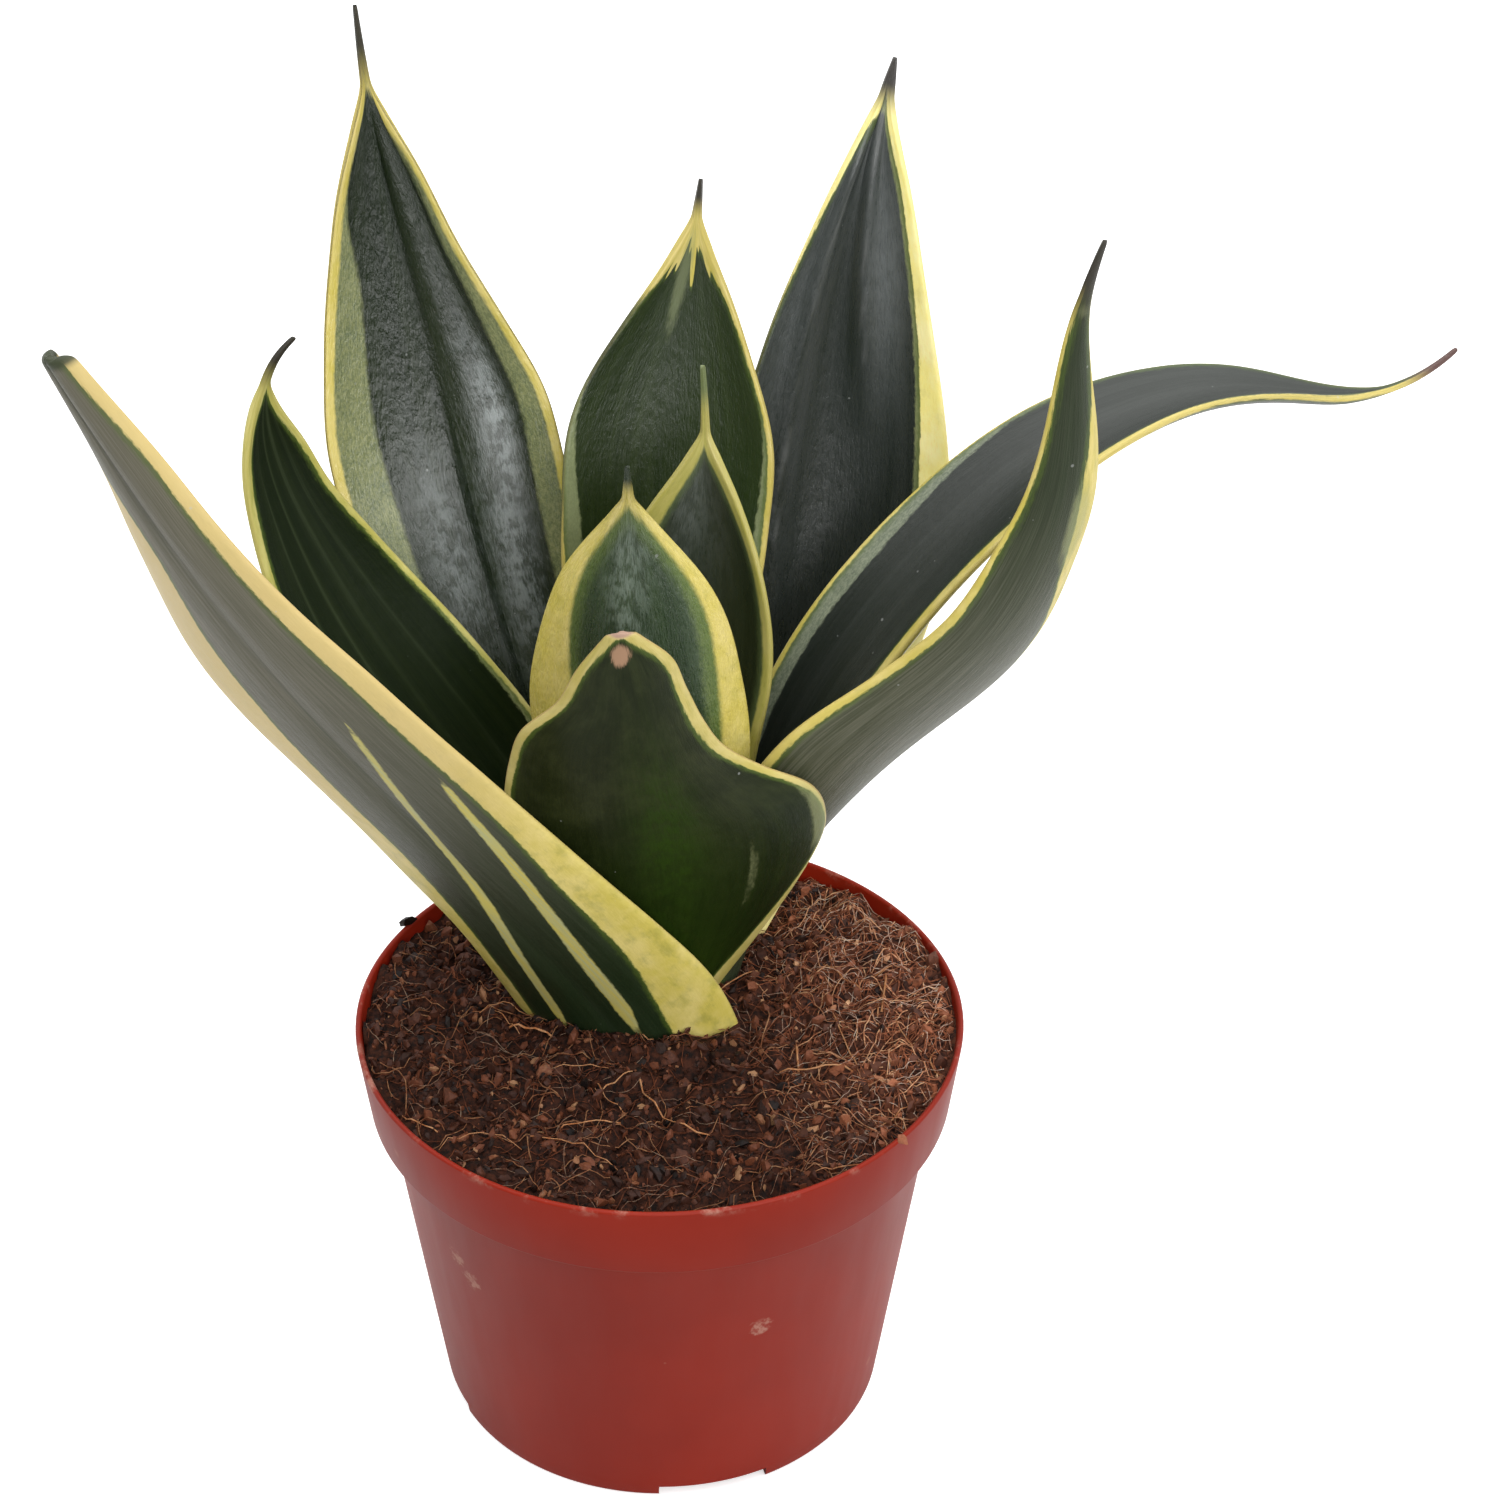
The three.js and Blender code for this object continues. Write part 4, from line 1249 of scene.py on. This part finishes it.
# Fibres lie anywhere on the soil, and more of them towards the right, the side with painted light
def scatterFibres(curve, draw, bases, kind):
    count = fibre["points"]
    for _ in range(kind["count"]):
        x, y = soilSpot(draw, bases, soil["edge"] - 1)
        while draw.random() > 0.2 + 0.8 * litSideShare(x, y):
            x, y = soilSpot(draw, bases, soil["edge"] - 1)
        bend = draw.gauss(0, kind["bend"])
        step = draw.uniform(*kind["step"])
        arch = draw.uniform(0, kind["arch"]) * draw.random()
        turns = [bend + draw.gauss(0, fibre["curl"]) for _ in range(count)]
        radii = [draw.uniform(fibre["thinnest"], fibre["thickest"]) for _ in range(count)]
        addFibre(curve, x, y, draw.uniform(0, 2 * math.pi), step, turns, arch, radii)


def layChosenFibres(curve, draw, kind):
    count = fibre["points"]
    for x, y, heading, length, bend, thickness in kind["chosen"]:
        turns = [math.radians(bend) / count + draw.gauss(0, 0.05) for _ in range(count)]
        radii = [thickness / kind["thickness"] * draw.uniform(0.5, 0.8) for _ in range(count)]
        addFibre(curve, x, y, math.radians(heading), length / count, turns, fibre["chosenArch"], radii)


def buildFibres(bases, name, kind):
    draw = random.Random(kind["seed"])
    curve = bpy.data.curves.new(name, "CURVE")
    curve.dimensions = "3D"
    curve.bevel_depth = kind["thickness"] * mm
    curve.bevel_resolution = 0
    curve.use_fill_caps = True
    scatterFibres(curve, draw, bases, kind)
    layChosenFibres(curve, draw, kind)
    obj = bpy.data.objects.new(name, curve)
    bpy.context.collection.objects.link(obj)
    activate(obj)
    bpy.ops.object.convert(target="MESH")
    smooth(obj)
    first, second = kind["colours"]
    material = soilMaterial(name + "Finish", soil[first], soil[second], kind["tinted"])
    handOver(obj, name, "soil", material)


# Floor, light and background

studio = {
    "seenFloor": 0.9,  # grey of the floor as the camera sees it
    "floorGlow": 0.5,
    "floorBehind": 0.85,  # and as it lights the plant: behind it, in front of it and further out
    "floorBefore": 0.45,
    "floorFar": 0.06,
    "farBand": (-600, -250),  # Y over which the far floor turns into the near one
    "plantBand": (-120, 50),  # and the floor before the plant into the one behind it
    "low": 0.11,  # glow of the surroundings near the horizon in front, behind, and overhead
    "behind": 0.8,
    "top": 2.0,
    "window": {
        "place": (590, -1280, 700), "aim": (0, 0, 120), "size": (1400, 520), "roll": 6, "watts": 14},
}


def buildFloor():
    deselectAll()
    bpy.ops.mesh.primitive_plane_add(size=8)
    floor = bpy.context.object
    floor.name = "floor"
    material, tree, shader = newMaterial("floorPaper")
    seen = addNode(tree, "ShaderNodeLightPath").outputs["Is Camera Ray"]
    toBack = addNode(tree, "ShaderNodeSeparateXYZ", {0: objectPlace(tree)}).outputs["Y"]
    farBand, plantBand = ([edge * mm for edge in studio[band]] for band in ("farBand", "plantBand"))
    grey = between(tree, toBack, *farBand, studio["floorFar"], studio["floorBefore"])
    grey = between(tree, toBack, *plantBand, grey, studio["floorBehind"])
    grey = calc(tree, "MAXIMUM", grey, calc(tree, "MULTIPLY", seen, studio["seenFloor"]))
    feed(tree, shader.inputs["Base Color"], grey)
    shader.inputs["Emission Color"].default_value = (1, 1, 1, 1)
    feed(tree, shader.inputs["Emission Strength"], calc(tree, "MULTIPLY", seen, studio["floorGlow"]))
    shader.inputs["Roughness"].default_value = 0.8
    floor.data.materials.append(material)


# Surroundings that are white to the camera and light the plant mostly from above and behind
def buildSurroundings():
    world = bpy.data.worlds.new("studio")
    world.use_nodes = True
    bpy.context.scene.world = world
    tree = world.node_tree
    tree.nodes.clear()
    spot = addNode(tree, "ShaderNodeTexCoord").outputs["Generated"]
    way = addNode(tree, "ShaderNodeSeparateXYZ", {0: spot}).outputs
    low = between(tree, way["Y"], -0.3, 0.6, studio["low"], studio["behind"])
    above = between(tree, way["Z"], 0.4, 0.8)
    glow = calc(tree, "ADD", calc(tree, "MULTIPLY", low, calc(tree, "SUBTRACT", 1.0, above)),
                calc(tree, "MULTIPLY", above, studio["top"]))
    seen = addNode(tree, "ShaderNodeLightPath").outputs["Is Camera Ray"]
    strength = calc(tree, "MAXIMUM", glow, seen)
    back = addNode(tree, "ShaderNodeBackground", {"Color": (1, 1, 1, 1), "Strength": strength})
    addNode(tree, "ShaderNodeOutputWorld", {"Surface": back.outputs[0]})


def buildWindow():
    window = studio["window"]
    spot = Vector(window["place"]) * mm
    bpy.ops.object.light_add(type="AREA", location=spot)
    lamp = bpy.context.object
    lamp.name = "window"
    lamp.data.shape = "RECTANGLE"
    lamp.data.size, lamp.data.size_y = (side * mm for side in window["size"])
    lamp.data.energy = window["watts"]
    aim = (Vector(window["aim"]) * mm - spot).to_track_quat("-Z", "Y").to_matrix()
    lamp.rotation_euler = (aim @ Matrix.Rotation(math.radians(window["roll"]), 3, "Z")).to_euler()


addCamera()
buildFloor()
buildSurroundings()
buildWindow()
bpy.context.scene.view_settings.view_transform = "Standard"
print("camera, floor and lights")
effects = {"unevenEdge": makeUnevenEdge(), "specks": makeSpecks(), "fibres": makeFibres()}
for seed, (name, leaf) in enumerate(leaves.items()):
    buildLeaf(name, leaf, effects, seed)
print("leaves:", len(leaves))
buildPot(effects)
print("pot")
buildSoilBody()
bases = leafBases()
buildChips(bases)
for name, kind in fibreKinds.items():
    buildFibres(bases, name, kind)
print("soil, chips and fibres")
